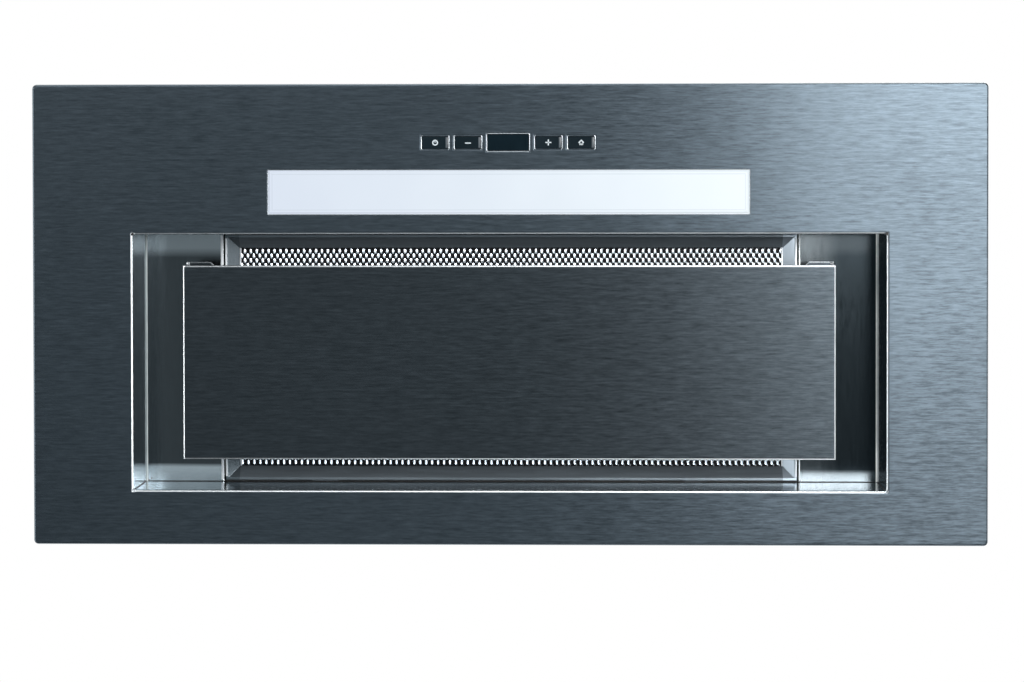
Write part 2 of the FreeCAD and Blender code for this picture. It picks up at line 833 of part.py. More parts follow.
def hinge_parts():
    """Two ears on the recess floor, the cover's pins and the rivets."""
    pins = Piece("hinge_pins")
    pin = circle(hinge_row, d.hinge_height, d.pin_radius)
    pins.pad([pin], ear_inner - d.pin_overhang, cover_half - ear_inner + d.pin_overhang, "side")
    pins.pad([pin], -cover_half, cover_half - ear_inner + d.pin_overhang, "side")
    foot_level = floor_level - d.bracket_sheet
    half = d.bracket_width / 2
    tip = d.pin_radius + d.bracket_tip
    ear = [(hinge_row - half, floor_level), (hinge_row - tip, d.hinge_height - tip / 2),
           (hinge_row - tip / 2, d.hinge_height - tip), (hinge_row + tip / 2, d.hinge_height - tip),
           (hinge_row + tip, d.hinge_height - tip / 2), (hinge_row + half, floor_level)]
    bore = circle(hinge_row, d.hinge_height, d.pin_radius + d.pin_gap)
    for name, side in (("hinge_bracket_left", -1), ("hinge_bracket_right", 1)):
        start = -ear_outer if side < 0 else ear_inner
        foot = [(side * foot_inner, hinge_row - half), (side * ear_inner, hinge_row - half),
                (side * ear_inner, hinge_row + half), (side * foot_inner, hinge_row + half)]
        holes = [circle(side * foot_middle, row, d.rivet_radius + d.hole_gap) for row in rivet_rows]
        bracket = Piece(name)
        bracket.pad([ear, bore], start, d.bracket_sheet, "side")
        bracket.pad([foot] + holes, foot_level, d.bracket_sheet)
    spots = [(side * foot_middle, row) for side in (-1, 1) for row in rivet_rows]
    rivets = Piece("hinge_rivets")
    rivets.pad([circle(x, y, d.rivet_radius) for x, y in spots], foot_level,
               d.bracket_sheet + d.steel)
    for level in (foot_level - d.rivet_cap, floor_top):
        rivets.pad([circle(x, y, d.rivet_head) for x, y in spots], level, d.rivet_cap)


def catches():
    """Magnets on posts that hold the cover's front tabs."""
    magnet_level = d.flange_height + d.magnet_air
    post_level = magnet_level + d.magnet_height
    spots = [(side * catch_x, catch_y) for side in (-1, 1)]
    posts = Piece("magnet_posts")
    posts.pad([circle(x, y, d.magnet_radius + d.post_wall) for x, y in spots],
              post_level, floor_level - post_level)
    posts.pad([circle(x, y, d.spigot_radius) for x, y in spots], floor_level, d.steel)
    Piece("magnets").pad([circle(x, y, d.magnet_radius) for x, y in spots],
                         magnet_level, d.magnet_height)


def light():
    """Diffuser in the fascia and the tray with its strip of lamps above it."""
    y = light_row
    lens_width = d.light_width - 2 * d.diffuser_gap
    lens_span = d.light_span - 2 * d.diffuser_gap
    flange_width = lens_width + 2 * d.diffuser_ledge
    flange_span = lens_span + 2 * d.diffuser_ledge
    inner_width = flange_width + 2 * d.tray_gap
    inner_span = flange_span + 2 * d.tray_gap
    tray_outline = rectangle(inner_width + 2 * d.tray_wall, inner_span + 2 * d.tray_wall, 0, y)
    lens = Piece("led_diffuser")
    lens.pad([rectangle(lens_width, lens_span, 0, y)], 0, d.steel)
    lens.chamfer(d.diffuser_bevel, d.diffuser_bevel,
                 flat_at(0, -lens_width / 2, lens_width / 2, y - lens_span / 2, y + lens_span / 2))
    lens.pad([rectangle(flange_width, flange_span, 0, y)], d.steel, d.diffuser_flange)
    tray = Piece("led_tray")
    tray.pad([tray_outline, rectangle(inner_width, inner_span, 0, y)], d.steel,
             d.tray_height - d.tray_wall)
    roof = d.steel + d.tray_height - d.tray_wall
    tray.pad([tray_outline], roof, d.tray_wall)
    strip_level = roof - d.board_sheet
    strip_length = inner_width - 2 * d.strip_inset
    Piece("led_board").pad([rectangle(strip_length, d.strip_width, 0, y)], strip_level, d.board_sheet)
    chip_run = strip_length * (1 - 1 / LED_CHIPS)
    chips = Piece("led_chips")
    chips.pad([rectangle(d.chip_size, d.chip_size, -chip_run / 2, y)],
              strip_level - d.chip_height, d.chip_height)
    chips.row(chip_run, LED_CHIPS)
    driver_y = -(casing_span / 2 - d.steel - d.driver_width / 2 - d.tray_gap)
    driver_x = d.driver_inset + d.driver_length / 2
    driver = Piece("led_driver")
    driver.pad([rectangle(d.driver_length + 2 * d.driver_foot, d.driver_width, driver_x, driver_y)],
               d.steel, d.board_sheet)
    driver.pad([rectangle(d.driver_length, d.driver_width, driver_x, driver_y)],
               d.steel + d.board_sheet, d.driver_height - d.board_sheet)


def controls():
    """Bezels, caps, display, guide frame, board and the box that covers them."""
    y = control_row
    bezel_width = d.button_width - 2 * d.bezel_gap
    bezel_span = d.button_span - 2 * d.bezel_gap
    bezel_top = d.steel + d.bezel_sheet
    throat_width = bezel_width - 2 * d.bezel_wall
    throat_span = bezel_span - 2 * d.bezel_wall
    cap_width = throat_width - 2 * d.cap_gap
    cap_span = throat_span - 2 * d.cap_gap
    collar_level = bezel_top + d.collar_play
    spots = list(button_offsets.values())
    throats = [rectangle(throat_width, throat_span, x, y) for x in spots]
    bezels = Piece("button_bezels")
    bezels.pad([rectangle(bezel_width, bezel_span, x, y) for x in spots] + throats, 0, d.steel)
    bezels.pad([rectangle(bezel_width + 2 * d.bezel_flange, bezel_span + 2 * d.bezel_flange, x, y)
                for x in spots] + throats, d.steel, d.bezel_sheet)
    for name, x in button_offsets.items():
        cap = Piece(name)
        cap.pad([rectangle(cap_width, cap_span, x, y)], d.cap_recess, collar_level - d.cap_recess)
        cap.fillet(d.cap_round, flat_at(d.cap_recess, x - cap_width / 2, x + cap_width / 2,
                                        y - cap_span / 2, y + cap_span / 2))
        cap.pad([rectangle(cap_width + 2 * d.collar_reach, cap_span + 2 * d.collar_reach, x, y)],
                collar_level, d.cap_collar)
        cap.pad([circle(x, y, d.stem_radius)], collar_level + d.cap_collar,
                d.stem_top - collar_level - d.cap_collar)
    display_width = d.display_width - 2 * d.bezel_gap
    display_span = d.display_span - 2 * d.bezel_gap
    opening = rectangle(display_width - 2 * d.bezel_wall, display_span - 2 * d.bezel_wall, 0, y)
    ring = Piece("display_bezel")
    ring.pad([rectangle(display_width, display_span, 0, y), opening], 0, d.steel)
    ring.pad([rectangle(display_width + 2 * d.bezel_flange, display_span + 2 * d.bezel_flange, 0, y),
              opening], d.steel, d.bezel_sheet)
    glass_width = display_width - 2 * d.bezel_wall - 2 * d.bezel_gap
    glass_span = display_span - 2 * d.bezel_wall - 2 * d.bezel_gap
    window = Piece("display_window")
    window.pad([rectangle(glass_width, glass_span, 0, y)], d.window_recess,
               bezel_top - d.window_recess)
    window.pad([rectangle(glass_width + 2 * d.window_ledge, glass_span + 2 * d.window_ledge, 0, y)],
               bezel_top, d.window_sheet)
    module_width = glass_width - 2 * d.module_inset
    module_span = glass_span - 2 * d.module_inset
    module_level = bezel_top + d.window_sheet + d.module_gap
    Piece("display_module").pad([rectangle(module_width, module_span, 0, y)], module_level,
                                d.frame_top - module_level)
    outline = rectangle(d.frame_width, d.frame_span, 0, y)
    hollow = rectangle(d.frame_width - 2 * d.frame_wall, d.frame_span - 2 * d.frame_wall, 0, y)
    guides = [circle(x, y, d.stem_radius + d.stem_gap) for x in spots]
    frame = Piece("control_frame")
    frame.pad([outline, hollow], d.steel, d.web_level - d.steel)
    frame.pad([outline, rectangle(module_width + 2 * d.module_room, module_span + 2 * d.module_room,
                                  0, y)] + guides, d.web_level, d.web_sheet)
    web_top = d.web_level + d.web_sheet
    frame.pad([outline, hollow], web_top, d.frame_top - web_top)
    switch_level = d.stem_top + d.switch_gap
    Piece("tact_switches").pad([rectangle(d.switch_size, d.switch_size, x, y) for x in spots],
                               switch_level, d.frame_top - switch_level)
    Piece("control_board").pad([rectangle(d.frame_width - 2 * d.board_inset,
                                          d.frame_span - 2 * d.board_inset, 0, y)],
                               d.frame_top, d.board_sheet)
    inner_width = d.frame_width + 2 * d.box_end_air
    inner_span = d.frame_span + 2 * d.box_air
    box_outline = rectangle(inner_width + 2 * d.steel, inner_span + 2 * d.steel, 0, y)
    box = Piece("control_box")
    box.pad([box_outline, rectangle(inner_width, inner_span, 0, y)], d.steel,
            d.control_box_height - d.steel)
    box.pad([box_outline], d.control_box_height, d.steel)


def lower_casing():
    """Shallow steel casing on the fascia that carries the blower box."""
    outline = rectangle(casing_width, casing_span)
    inside = rectangle(casing_width - 2 * d.steel, casing_span - 2 * d.steel)
    flange = rectangle(casing_width + 2 * d.casing_flange, casing_span + 2 * d.casing_flange)
    throat = rectangle(d.box_width - 2 * d.box_flange, casing_span - 2 * d.box_flange)
    holes = [circle(x, y, d.stud_radius + d.hole_gap) for x, y in stud_spots]
    wall_height = d.casing_height - d.steel
    bracket_holes = [circle(side * d.hole_line, bracket_screw_level, d.screw_radius + d.hole_gap)
                     for side in (-1, 1)]
    box_holes = [circle(x, y, d.screw_radius + d.hole_gap) for x, y in box_screw_spots]
    piece = Piece("lower_casing")
    piece.pad([outline, inside], d.steel, wall_height)
    piece.pad([flange, inside] + holes, d.steel, d.steel)
    piece.pad([outline, throat] + box_holes, d.steel + wall_height, d.steel)
    piece.pocket(bracket_holes, -(casing_width / 2 + d.overrun),
                 casing_width + 2 * d.overrun, "side")


def blower_box():
    """Upper casing round the blower, screwed to the deck by its inner flange."""
    outline = rectangle(d.box_width, casing_span)
    inside = rectangle(d.box_width - 2 * d.steel, casing_span - 2 * d.steel)
    throat = rectangle(d.box_width - 2 * d.box_flange, casing_span - 2 * d.box_flange)
    box_holes = [circle(x, y, d.screw_radius + d.hole_gap) for x, y in box_screw_spots]
    collar_holes = [circle(x, y, d.screw_radius + d.hole_gap) for x, y in collar_screw_spots]
    hole = circle(0, 0, d.collar_radius - d.collar_wall - d.hole_lip)
    piece = Piece("blower_box")
    piece.pad([outline, throat] + box_holes, deck_top, d.steel)
    piece.pad([outline, inside], deck_top + d.steel, d.box_height - 2 * d.steel)
    piece.pad([outline, hole] + collar_holes, box_top - d.steel, d.steel)


def nuts_and_screws():
    """Groups of like fasteners, each group one node of separate solids."""
    nuts = [hexagon(x, y, d.nut_radius) for x, y in stud_spots]
    bores = [circle(x, y, d.stud_radius + d.hole_gap) for x, y in stud_spots]
    Piece("casing_nuts").pad(nuts + bores, 2 * d.steel, d.nut_height)

    def upright_screws(name, spots, seat):
        group = Piece(name)
        group.pad([circle(x, y, d.screw_radius) for x, y in spots], seat - d.screw_length,
                  d.screw_length)
        group.pad([circle(x, y, d.screw_head) for x, y in spots], seat, d.screw_cap)
    upright_screws("box_screws", box_screw_spots, deck_top + d.steel)
    upright_screws("collar_screws", collar_screw_spots, box_top + d.collar_sheet)
    upright_screws("lid_screws", lid_screw_spots, lid_level + d.lid_sheet)
    seat = casing_width / 2 + d.side_bracket_sheet
    screws = Piece("bracket_screws")
    shanks = [circle(side * d.hole_line, bracket_screw_level, d.screw_radius) for side in (-1, 1)]
    heads = [circle(side * d.hole_line, bracket_screw_level, d.screw_head) for side in (-1, 1)]
    screws.pad(shanks, seat - d.screw_length, d.screw_length, "side")
    screws.pad(heads, seat, d.screw_cap, "side")
    screws.pad(shanks, -seat, d.screw_length, "side")
    screws.pad(heads, -seat - d.screw_cap, d.screw_cap, "side")


def side_brackets():
    """Angles that clamp the cabinet's bottom board against the fascia's rim."""
    top = clamp_level + d.side_bracket_sheet
    half = d.side_bracket_width / 2
    leg = box_loop(-half, half, top - d.side_bracket_height, top)
    screw_holes = [circle(side * d.hole_line, bracket_screw_level, d.screw_radius + d.hole_gap)
                   for side in (-1, 1)]
    for name, side in (("side_bracket_left", -1), ("side_bracket_right", 1)):
        wall = side * (casing_width / 2)
        inner = side * (casing_width / 2 + d.side_bracket_sheet)
        outer = side * (casing_width / 2 + d.side_bracket_reach)
        plate = [(inner, -half), (outer, -half), (outer, half), (inner, half)]
        holes = [circle(side * (casing_width / 2 + d.hole_reach), row * d.hole_line, d.bracket_hole)
                 for row in (-1, 1)]
        bracket = Piece(name)
        bracket.pad([leg] + screw_holes, wall if side > 0 else inner, d.side_bracket_sheet, "side")
        bracket.pad([plate] + holes, clamp_level, d.side_bracket_sheet)


def duct_collar():
    """Round spigot for the duct, with a ledge and a bar under the flaps."""
    inner = d.collar_radius - d.collar_wall
    ledge = inner - d.ledge_width
    ledge_low = box_top + d.ledge_level - d.ledge_height
    ledge_top = box_top + d.ledge_level
    profile = [
        (inner, box_top), (d.collar_radius + d.collar_flange, box_top),
        (d.collar_radius + d.collar_flange, box_top + d.collar_sheet),
        (d.collar_radius, box_top + d.collar_sheet),
        (d.collar_radius, box_top + d.collar_height), (inner, box_top + d.collar_height),
        (inner, ledge_top), (ledge, ledge_top), (ledge, ledge_low), (inner, ledge_low),
    ]
    piece = Piece("duct_collar")
    piece.revolve([profile])
    bar = rectangle(2 * d.crossbar_half, 2 * d.collar_radius - d.collar_wall)
    piece.pad([bar], ledge_top - d.crossbar_height, d.crossbar_height)
    bores = [circle(side * d.flap_axis, flap_level, d.flap_pin + d.flap_pin_gap) for side in (-1, 1)]
    piece.pocket(bores, -(d.collar_radius + d.overrun), 2 * (d.collar_radius + d.overrun), "front")
    holes = [circle(x, y, d.screw_radius + d.hole_gap) for x, y in collar_screw_spots]
    piece.pocket(holes, box_top - d.overrun, d.collar_sheet + 2 * d.overrun)


def flaps():
    """Two half discs on pins that fall shut when the blower stops."""
    radius = d.collar_radius - d.collar_wall - d.flap_gap
    plate_level = flap_level - d.flap_pin
    pin_half = d.collar_radius - d.pin_short
    for name, side in (("flap_left", -1), ("flap_right", 1)):
        axis = side * d.flap_axis
        away = -side * (d.collar_radius + d.overrun)
        beyond = d.collar_radius + d.overrun
        other_side = box_loop(away, axis, -beyond, beyond)
        flap = Piece(name)
        flap.pad([circle(0, 0, radius)], plate_level, d.flap_sheet)
        flap.pocket([other_side], plate_level - d.overrun, d.flap_sheet + 2 * d.overrun)
        flap.pad([circle(axis, flap_level, d.flap_pin)], -pin_half, 2 * pin_half, "front")


def scroll_outline(shrink, top, x):
    """Outline of the blower's scroll and outlet, drawn inside by shrink."""
    centre_y = blower_y.value
    centre_z = d.blower_level.value
    start = math.degrees(math.acos(d.outlet_offset.value / d.scroll_start.value))
    span = 360 - start

    def radius(angle):
        growth = (d.scroll_end - d.scroll_start).value * (angle - start) / span
        return d.scroll_start.value + growth - shrink

    def point(angle):
        turn = math.radians(angle)
        return V(x, centre_y + radius(angle) * math.cos(turn), centre_z + radius(angle) * math.sin(turn))

    throat_y = centre_y + d.outlet_offset.value + shrink
    tongue_z = centre_z + math.sqrt(radius(start) ** 2 - (throat_y - centre_y) ** 2)
    tongue = V(x, throat_y, tongue_z)
    first_turn = math.degrees(math.atan2(tongue_z - centre_z, throat_y - centre_y))
    arcs = []
    previous = tongue
    before = first_turn
    for angle in (180, 270, 360):
        arcs.append(Part.Arc(previous, point((before + angle) / 2), point(angle)).toShape())
        previous = point(angle)
        before = angle
    corners = [previous, V(x, previous.y, top), V(x, throat_y, top), tongue]
    lines = [Part.makeLine(corners[n], corners[n + 1]) for n in range(len(corners) - 1)]
    return Part.Face(Part.Wire(arcs + lines))


def volutes():
    """Two half shells of the blower housing, joined at x = 0."""
    top = (box_top - d.steel).value
    half = scroll_half.value
    shell = d.scroll_shell.value
    lip = d.outlet_flange.value
    centre = V(0, blower_y.value, d.blower_level.value)
    throat = (blower_y + d.outlet_offset).value
    rear = (blower_y + d.scroll_end).value
    for name, side in (("volute_left", -1), ("volute_right", 1)):
        outer = scroll_outline(0, top, 0).extrude(V(side * half, 0, 0))
        inner = scroll_outline(shell, top + lip, 0).extrude(V(side * (half - shell), 0, 0))
        flange = Part.makeBox(half + lip, rear - throat + 2 * lip, shell,
                              V(0 if side > 0 else -half - lip, throat - lip, top - shell))
        inlet = Part.makeCylinder(d.inlet_radius.value, half + lip, centre, V(side, 0, 0))
        shape = outer.fuse(flange).cut(inner).cut(inlet)
        free_shape(name, shape.removeSplitter())


def impeller():
    """Double wheel of forward-curved blades on a central disc and hub."""
    outer = d.wheel_radius.value
    bore = d.wheel_bore.value
    half = (d.wheel_width / 2).value
    disc = (d.wheel_disc / 2).value
    ring = d.wheel_ring.value
    sink = d.blade_sink.value
    thick = d.blade_thick.value
    camber = d.blade_camber.value
    centre = V(0, blower_y.value, d.blower_level.value)
    along = V(1, 0, 0)

    def tube(radius, hole, start, length):
        solid = Part.makeCylinder(radius, length, centre + along * start, along)
        return solid.cut(Part.makeCylinder(hole, length, centre + along * start, along))

    lean = bore * BLADE_LEAN_SHARE
    rim = outer - sink
    root = bore + sink

    def curve(offset, start):
        ends = [V(start, root, offset), V(start, rim, lean + offset)]
        middle = V(start, (root + rim) / 2, lean / 2 - camber + offset)
        return ends, Part.Arc(ends[0], middle, ends[1]).toShape()

    parts = [tube(outer, d.shaft_radius.value, -disc, 2 * disc)]
    parts += [tube(d.hub_radius.value, d.shaft_radius.value, -d.hub_length.value / 2,
                   d.hub_length.value)]
    for side in (-1, 1):
        start = side * (disc - sink)
        length = side * (half - disc - ring + 2 * sink)
        low_ends, low = curve(0, start)
        high_ends, high = curve(thick, start)
        sides = [Part.makeLine(low_ends[n], high_ends[n]) for n in (0, 1)]
        blade = Part.Face(Part.Wire([low, sides[1], high, sides[0]])).extrude(V(length, 0, 0))
        blade.translate(V(0, centre.y, centre.z))
        for number in range(BLADES):
            copy = blade.copy()
            copy.rotate(centre, along, 360 / BLADES * number)
            parts.append(copy)
        parts.append(tube(outer, bore, half - ring if side > 0 else -half, ring))
    free_shape("impeller", parts[0].multiFuse(parts[1:]))


def motor_parts():
    """Motor inside the left half of the wheel, hung on three rubber-mounted arms."""
    y = blower_y
    z = d.blower_level
    motor_right = -(d.hub_length / 2 + d.motor_air)
    motor_left = motor_right - d.motor_length
    shaft_right = d.hub_length / 2
    wall = -scroll_half
    arm_right = wall - d.grommet_height
    arm_left = arm_right - d.arm_sheet
    angles = [90 + 360 / MOTOR_ARMS * number for number in range(MOTOR_ARMS)]
    spots = [(y + d.grommet_line * math.cos(math.radians(angle)),
              z + d.grommet_line * math.sin(math.radians(angle))) for angle in angles]
    bore = d.screw_radius + d.hole_gap
    case = Piece("motor_case")
    case.pad([circle(y, z, d.motor_radius), circle(y, z, d.shaft_radius + d.shaft_gap)],
             motor_left, d.motor_length, "side")
    left = motor_left.value
    right = motor_right.value
    radius = d.motor_radius.value

    def end_edges(box):
        flat = near(box.XMin, box.XMax) and (near(box.XMin, left) or near(box.XMin, right))
        return flat and near(box.YMax - box.YMin, 2 * radius)
    case.fillet(d.motor_round, end_edges)
    Piece("motor_shaft").pad([circle(y, z, d.shaft_radius)], shaft_right - d.shaft_length,
                             d.shaft_length, "side")
    bracket = Piece("motor_bracket")
    bracket.pad([circle(y, z, d.motor_radius + d.arm_ring), circle(y, z, d.motor_radius)],
                arm_left - d.arm_ring, d.arm_sheet + d.arm_ring, "side")
    arms = [spoke(y, z, d.motor_radius + d.arm_ring / 2, d.grommet_line + d.arm_tip, d.arm_width, angle)
            for angle in angles]
    holes = [circle(a, b, bore) for a, b in spots]
    bracket.pad(arms + holes, arm_left, d.arm_sheet, "side")
    Piece("grommets").pad([circle(a, b, d.grommet_radius) for a, b in spots] + holes,
                          arm_right, d.grommet_height, "side")
    screws = Piece("motor_screws")
    screws.pad([circle(a, b, d.screw_radius) for a, b in spots], arm_left,
               d.arm_sheet + d.grommet_height, "side")
    screws.pad([circle(a, b, d.screw_head) for a, b in spots], arm_left - d.screw_cap,
               d.screw_cap, "side")


def electrics():
    """Motor capacitor in its clip, and the terminal box with its gland."""
    wall = casing_span / 2 - d.steel
    ring = d.capacitor_radius + d.clip_play + d.clip_sheet
    x = d.box_width / 2 - d.capacitor_inset
    y = wall - d.clip_air - ring
    Piece("capacitor").pad([circle(x, y, d.capacitor_radius)], d.capacitor_level, d.capacitor_length)
    clip = Piece("capacitor_clip")
    clip_level = d.capacitor_level + (d.capacitor_length - d.clip_width) / 2
    clip.pad([circle(x, y, ring), circle(x, y, d.capacitor_radius + d.clip_play)], clip_level,
             d.clip_width)
    clip.pad([box_loop(x - d.clip_foot, x + d.clip_foot, wall - d.clip_sheet, wall)], clip_level,
             d.clip_width)
    outline = rectangle(terminal_width, d.terminal_span, terminal_line, d.terminal_row)
    inside = rectangle(terminal_width - 2 * d.terminal_wall, d.terminal_span - 2 * d.terminal_wall,
                       terminal_line, d.terminal_row)
    gland_level = deck_top + d.terminal_height / 2
    wall_left = terminal_line + terminal_width / 2 - d.terminal_wall
    wall_right = terminal_line + terminal_width / 2
    hole = circle(d.terminal_row, gland_level, d.gland_radius)
    bosses = [circle(bx, by, d.screw_head) for bx, by in lid_screw_spots]
    bores = [circle(bx, by, d.screw_radius) for bx, by in lid_screw_spots]
    box = Piece("terminal_box")
    box.pad([outline], deck_top, d.terminal_wall)
    box.pad([outline, inside], deck_top + d.terminal_wall, d.terminal_height - d.terminal_wall)
    box.pad(bosses, deck_top + d.terminal_wall, d.terminal_height - d.terminal_wall)
    box.pocket([hole], wall_left - d.overrun, d.terminal_wall + 2 * d.overrun, "side")
    box.pocket(bores, lid_level - d.screw_length, d.screw_length)
    lid_holes = [circle(bx, by, d.screw_radius + d.hole_gap) for bx, by in lid_screw_spots]
    Piece("terminal_lid").pad([outline] + lid_holes, lid_level, d.lid_sheet)
    bore = circle(d.terminal_row, gland_level, d.gland_bore)
    gland = Piece("cable_gland")
    gland.pad([circle(d.terminal_row, gland_level, d.gland_radius), bore],
              wall_left - d.gland_inside, d.gland_inside + d.terminal_wall, "side")
    gland.pad([hexagon(d.terminal_row, gland_level, d.gland_hex), bore], wall_right,
              d.gland_hex_width, "side")
    gland.pad([circle(d.terminal_row, gland_level, d.gland_nut), bore],
              wall_right + d.gland_hex_width, d.gland_nut_width, "side")


# Screw places and levels that pieces and fasteners share

box_screw_spots = [(side * (d.box_width / 2 - d.box_flange / 2), row * d.screw_line)
                   for side in (-1, 1) for row in (-1, 1)]
box_screw_spots += [(side * d.screw_line, row * (casing_span / 2 - d.box_flange / 2))
                    for side in (-1, 1) for row in (-1, 1)]
collar_screw_ring = d.collar_radius + d.collar_flange / 2
collar_screw_spots = [(collar_screw_ring * math.cos(math.radians(360 / COLLAR_SCREWS * n)),
                       collar_screw_ring * math.sin(math.radians(360 / COLLAR_SCREWS * n)))
                      for n in range(COLLAR_SCREWS)]
terminal_width = (casing_width - d.box_width) / 2 - d.terminal_gap - d.terminal_side
terminal_line = d.box_width / 2 + d.terminal_gap + terminal_width / 2
lid_level = deck_top + d.terminal_height
lid_screw_spots = [(terminal_line + side * (terminal_width / 2 - d.lid_inset),
                    d.terminal_row + row * (d.terminal_span / 2 - d.lid_inset))
                   for side in (-1, 1) for row in (-1, 1)]
clamp_level = d.rim_height + d.cabinet_board
bracket_screw_level = clamp_level + d.side_bracket_sheet - d.side_bracket_height * BRACKET_SCREW_SHARE
flap_level = box_top + d.ledge_level + d.flap_play + d.flap_pin

fascia_panel()
recess_floor()
filter_frame()
mesh_sheet("filter_front_mesh", mesh_level)
filter_core()
mesh_sheet("filter_rear_mesh", cassette_top - d.mesh_sheet)
filter_latches()
latch_springs()
keeper_springs()
cover_panel()
hinge_parts()
catches()
light()
controls()
lower_casing()
blower_box()
side_brackets()
duct_collar()
flaps()
volutes()
impeller()
motor_parts()
electrics()
nuts_and_screws()

doc.recompute()
for thing in doc.Objects:
    if "Invalid" in thing.State or "Error" in thing.State:
        raise RuntimeError(f"{thing.Name} failed: {thing.State}")
for label, piece in pieces.items():
    if piece.Shape.isNull() or not piece.Shape.isValid():
        raise RuntimeError(f"{label} has no valid shape")
    if not piece.Shape.Solids:
        raise RuntimeError(f"{label} has no solid")

os.makedirs("parts", exist_ok=True)
for label, piece in pieces.items():
    piece.Shape.exportStep(f"parts/{label}.step")
    print(label, len(piece.Shape.Solids), "solids", round(piece.Shape.Volume), "mm3")
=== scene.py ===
# %% [markdown]
# # A built-in range hood, seen from below
# This hood is let into the bottom of a wall cabinet, so its face is the brushed
# steel fascia that looks down at the cook. The solids of every part come from the
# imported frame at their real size. Here they get their finishes, and the parts whose
# fine form matters, such as the expanded mesh, the button rims and the screws, are
# modelled anew in the same place.

import math

import bmesh
import bpy
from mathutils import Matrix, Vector


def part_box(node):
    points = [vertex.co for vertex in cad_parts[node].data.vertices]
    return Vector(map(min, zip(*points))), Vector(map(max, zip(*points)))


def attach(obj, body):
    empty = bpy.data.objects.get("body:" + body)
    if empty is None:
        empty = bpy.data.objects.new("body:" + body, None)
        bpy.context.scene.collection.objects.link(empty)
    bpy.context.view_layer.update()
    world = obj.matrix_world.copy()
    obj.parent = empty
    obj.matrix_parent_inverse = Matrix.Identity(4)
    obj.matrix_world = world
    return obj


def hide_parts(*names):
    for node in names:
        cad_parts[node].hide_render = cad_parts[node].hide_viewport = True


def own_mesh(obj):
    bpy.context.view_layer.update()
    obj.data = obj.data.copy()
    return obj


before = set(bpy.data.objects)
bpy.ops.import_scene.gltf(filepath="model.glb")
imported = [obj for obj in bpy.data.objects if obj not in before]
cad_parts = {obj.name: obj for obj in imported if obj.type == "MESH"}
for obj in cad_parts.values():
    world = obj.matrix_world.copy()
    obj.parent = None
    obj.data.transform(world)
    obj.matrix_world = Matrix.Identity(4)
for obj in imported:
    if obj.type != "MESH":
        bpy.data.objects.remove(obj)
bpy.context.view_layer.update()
scene = bpy.context.scene
MM = 0.001

# %% [markdown]
# ## The camera
# The photographer lay under the hood and looked straight up, a little towards the
# front and the right of its middle. The lens stays parallel to the hood's axis, so
# the fascia keeps its right angles, and a small lens shift frames it, as a view
# camera's rising front does.

# %% Camera under the hood
CAMERA_PLACE = (41.3 * MM, -74.1 * MM, -1108.9 * MM)
CAMERA_LEAN = (-0.698, -1.016, 0.066)
CAMERA_LENS = 62.244
CAMERA_SHIFT = (-0.03, -0.12)
CAMERA_NEAR = 10 * MM


def added(name, data):
    """A new object in the scene."""
    thing = bpy.data.objects.new(name, data)
    scene.collection.objects.link(thing)
    return thing


camera_data = bpy.data.cameras.new("camera")
camera_data.lens = CAMERA_LENS
camera_data.shift_x, camera_data.shift_y = CAMERA_SHIFT
camera_data.clip_start = CAMERA_NEAR
camera = added("camera", camera_data)
camera.location = CAMERA_PLACE
camera.rotation_euler = [math.radians(turn) for turn in CAMERA_LEAN]
camera.rotation_euler.x += math.pi
scene.camera = camera
scene.view_settings.view_transform = "Standard"
print("camera", round(-camera.location.z, 3), "m below the fascia")

# %% [markdown]
# ## Room and floor
# Brushed steel shows what stands round it more than its own colour, so the fascia
# looks down at a pale floor in a white room. The world is white where it is seen or
# mirrored, and dimmer where it lights the hood. Shader trees are put together from a
# few short helpers, and these are the first.

# %% Shader nodes in one call
def feed(tree, socket, value):
    """Link an output to a socket, or set the socket to a plain value."""
    if isinstance(value, bpy.types.NodeSocket):
        tree.links.new(value, socket)
    else:
        socket.default_value = value


def wire(tree, node, **sockets):
    """Feed the sockets of a node that are named."""
    for name, value in sockets.items():
        feed(tree, node.inputs[name.replace("_", " ")], value)


def put(tree, kind, settings=None, **sockets):
    """Add a shader node with its settings, and feed its sockets."""
    node = tree.nodes.new("ShaderNode" + kind)
    for field, value in (settings or {}).items():
        setattr(node, field, value)
    wire(tree, node, **sockets)
    return node


def calc(tree, operation, *values):
    """A Math node's result."""
    node = put(tree, "Math", {"operation": operation})
    for socket, value in zip(node.inputs, values):
        feed(tree, socket, value)
    return node.outputs[0]


# %% Finishes by name, and primitives
finishes = {}


def finish(name, roughness, metallic=0.0):
    """Start a new finish, and give its tree and its shader."""
    made = bpy.data.materials.new(name)
    made.use_nodes = True
    shader = made.node_tree.nodes["Principled BSDF"]
    wire(made.node_tree, shader, Roughness=roughness, Metallic=metallic)
    finishes[name] = made
    return made.node_tree, shader


def paint(thing, *names):
    """Give an object the finishes of these names in place of whatever it had."""
    thing.data.materials.clear()
    for name in names:
        thing.data.materials.append(finishes[name])


def start(primitive_add, **settings):
    """Add a primitive while nothing else is selected."""
    bpy.ops.object.select_all(action="DESELECT")
    primitive_add(**settings)
    return bpy.context.object


# %% World and floor
WORLD_FILL = 0.4
FLOOR_LEVEL, FLOOR_REACH = -2.4, 16
FLOOR_COLOUR, FLOOR_ROUGHNESS = (0.46, 0.53, 0.56, 1), 0.9

world = bpy.data.worlds.new("room")
world.use_nodes = True
scene.world = world
room = world.node_tree
rays = put(room, "LightPath").outputs
seen = calc(room, "MAXIMUM", rays["Is Camera Ray"], rays["Is Glossy Ray"])
seen = calc(room, "MAXIMUM", seen, rays["Is Transmission Ray"])
wire(room, room.nodes["Background"], Color=(1, 1, 1, 1),
     Strength=calc(room, "MULTIPLY_ADD", seen, 1 - WORLD_FILL, WORLD_FILL))

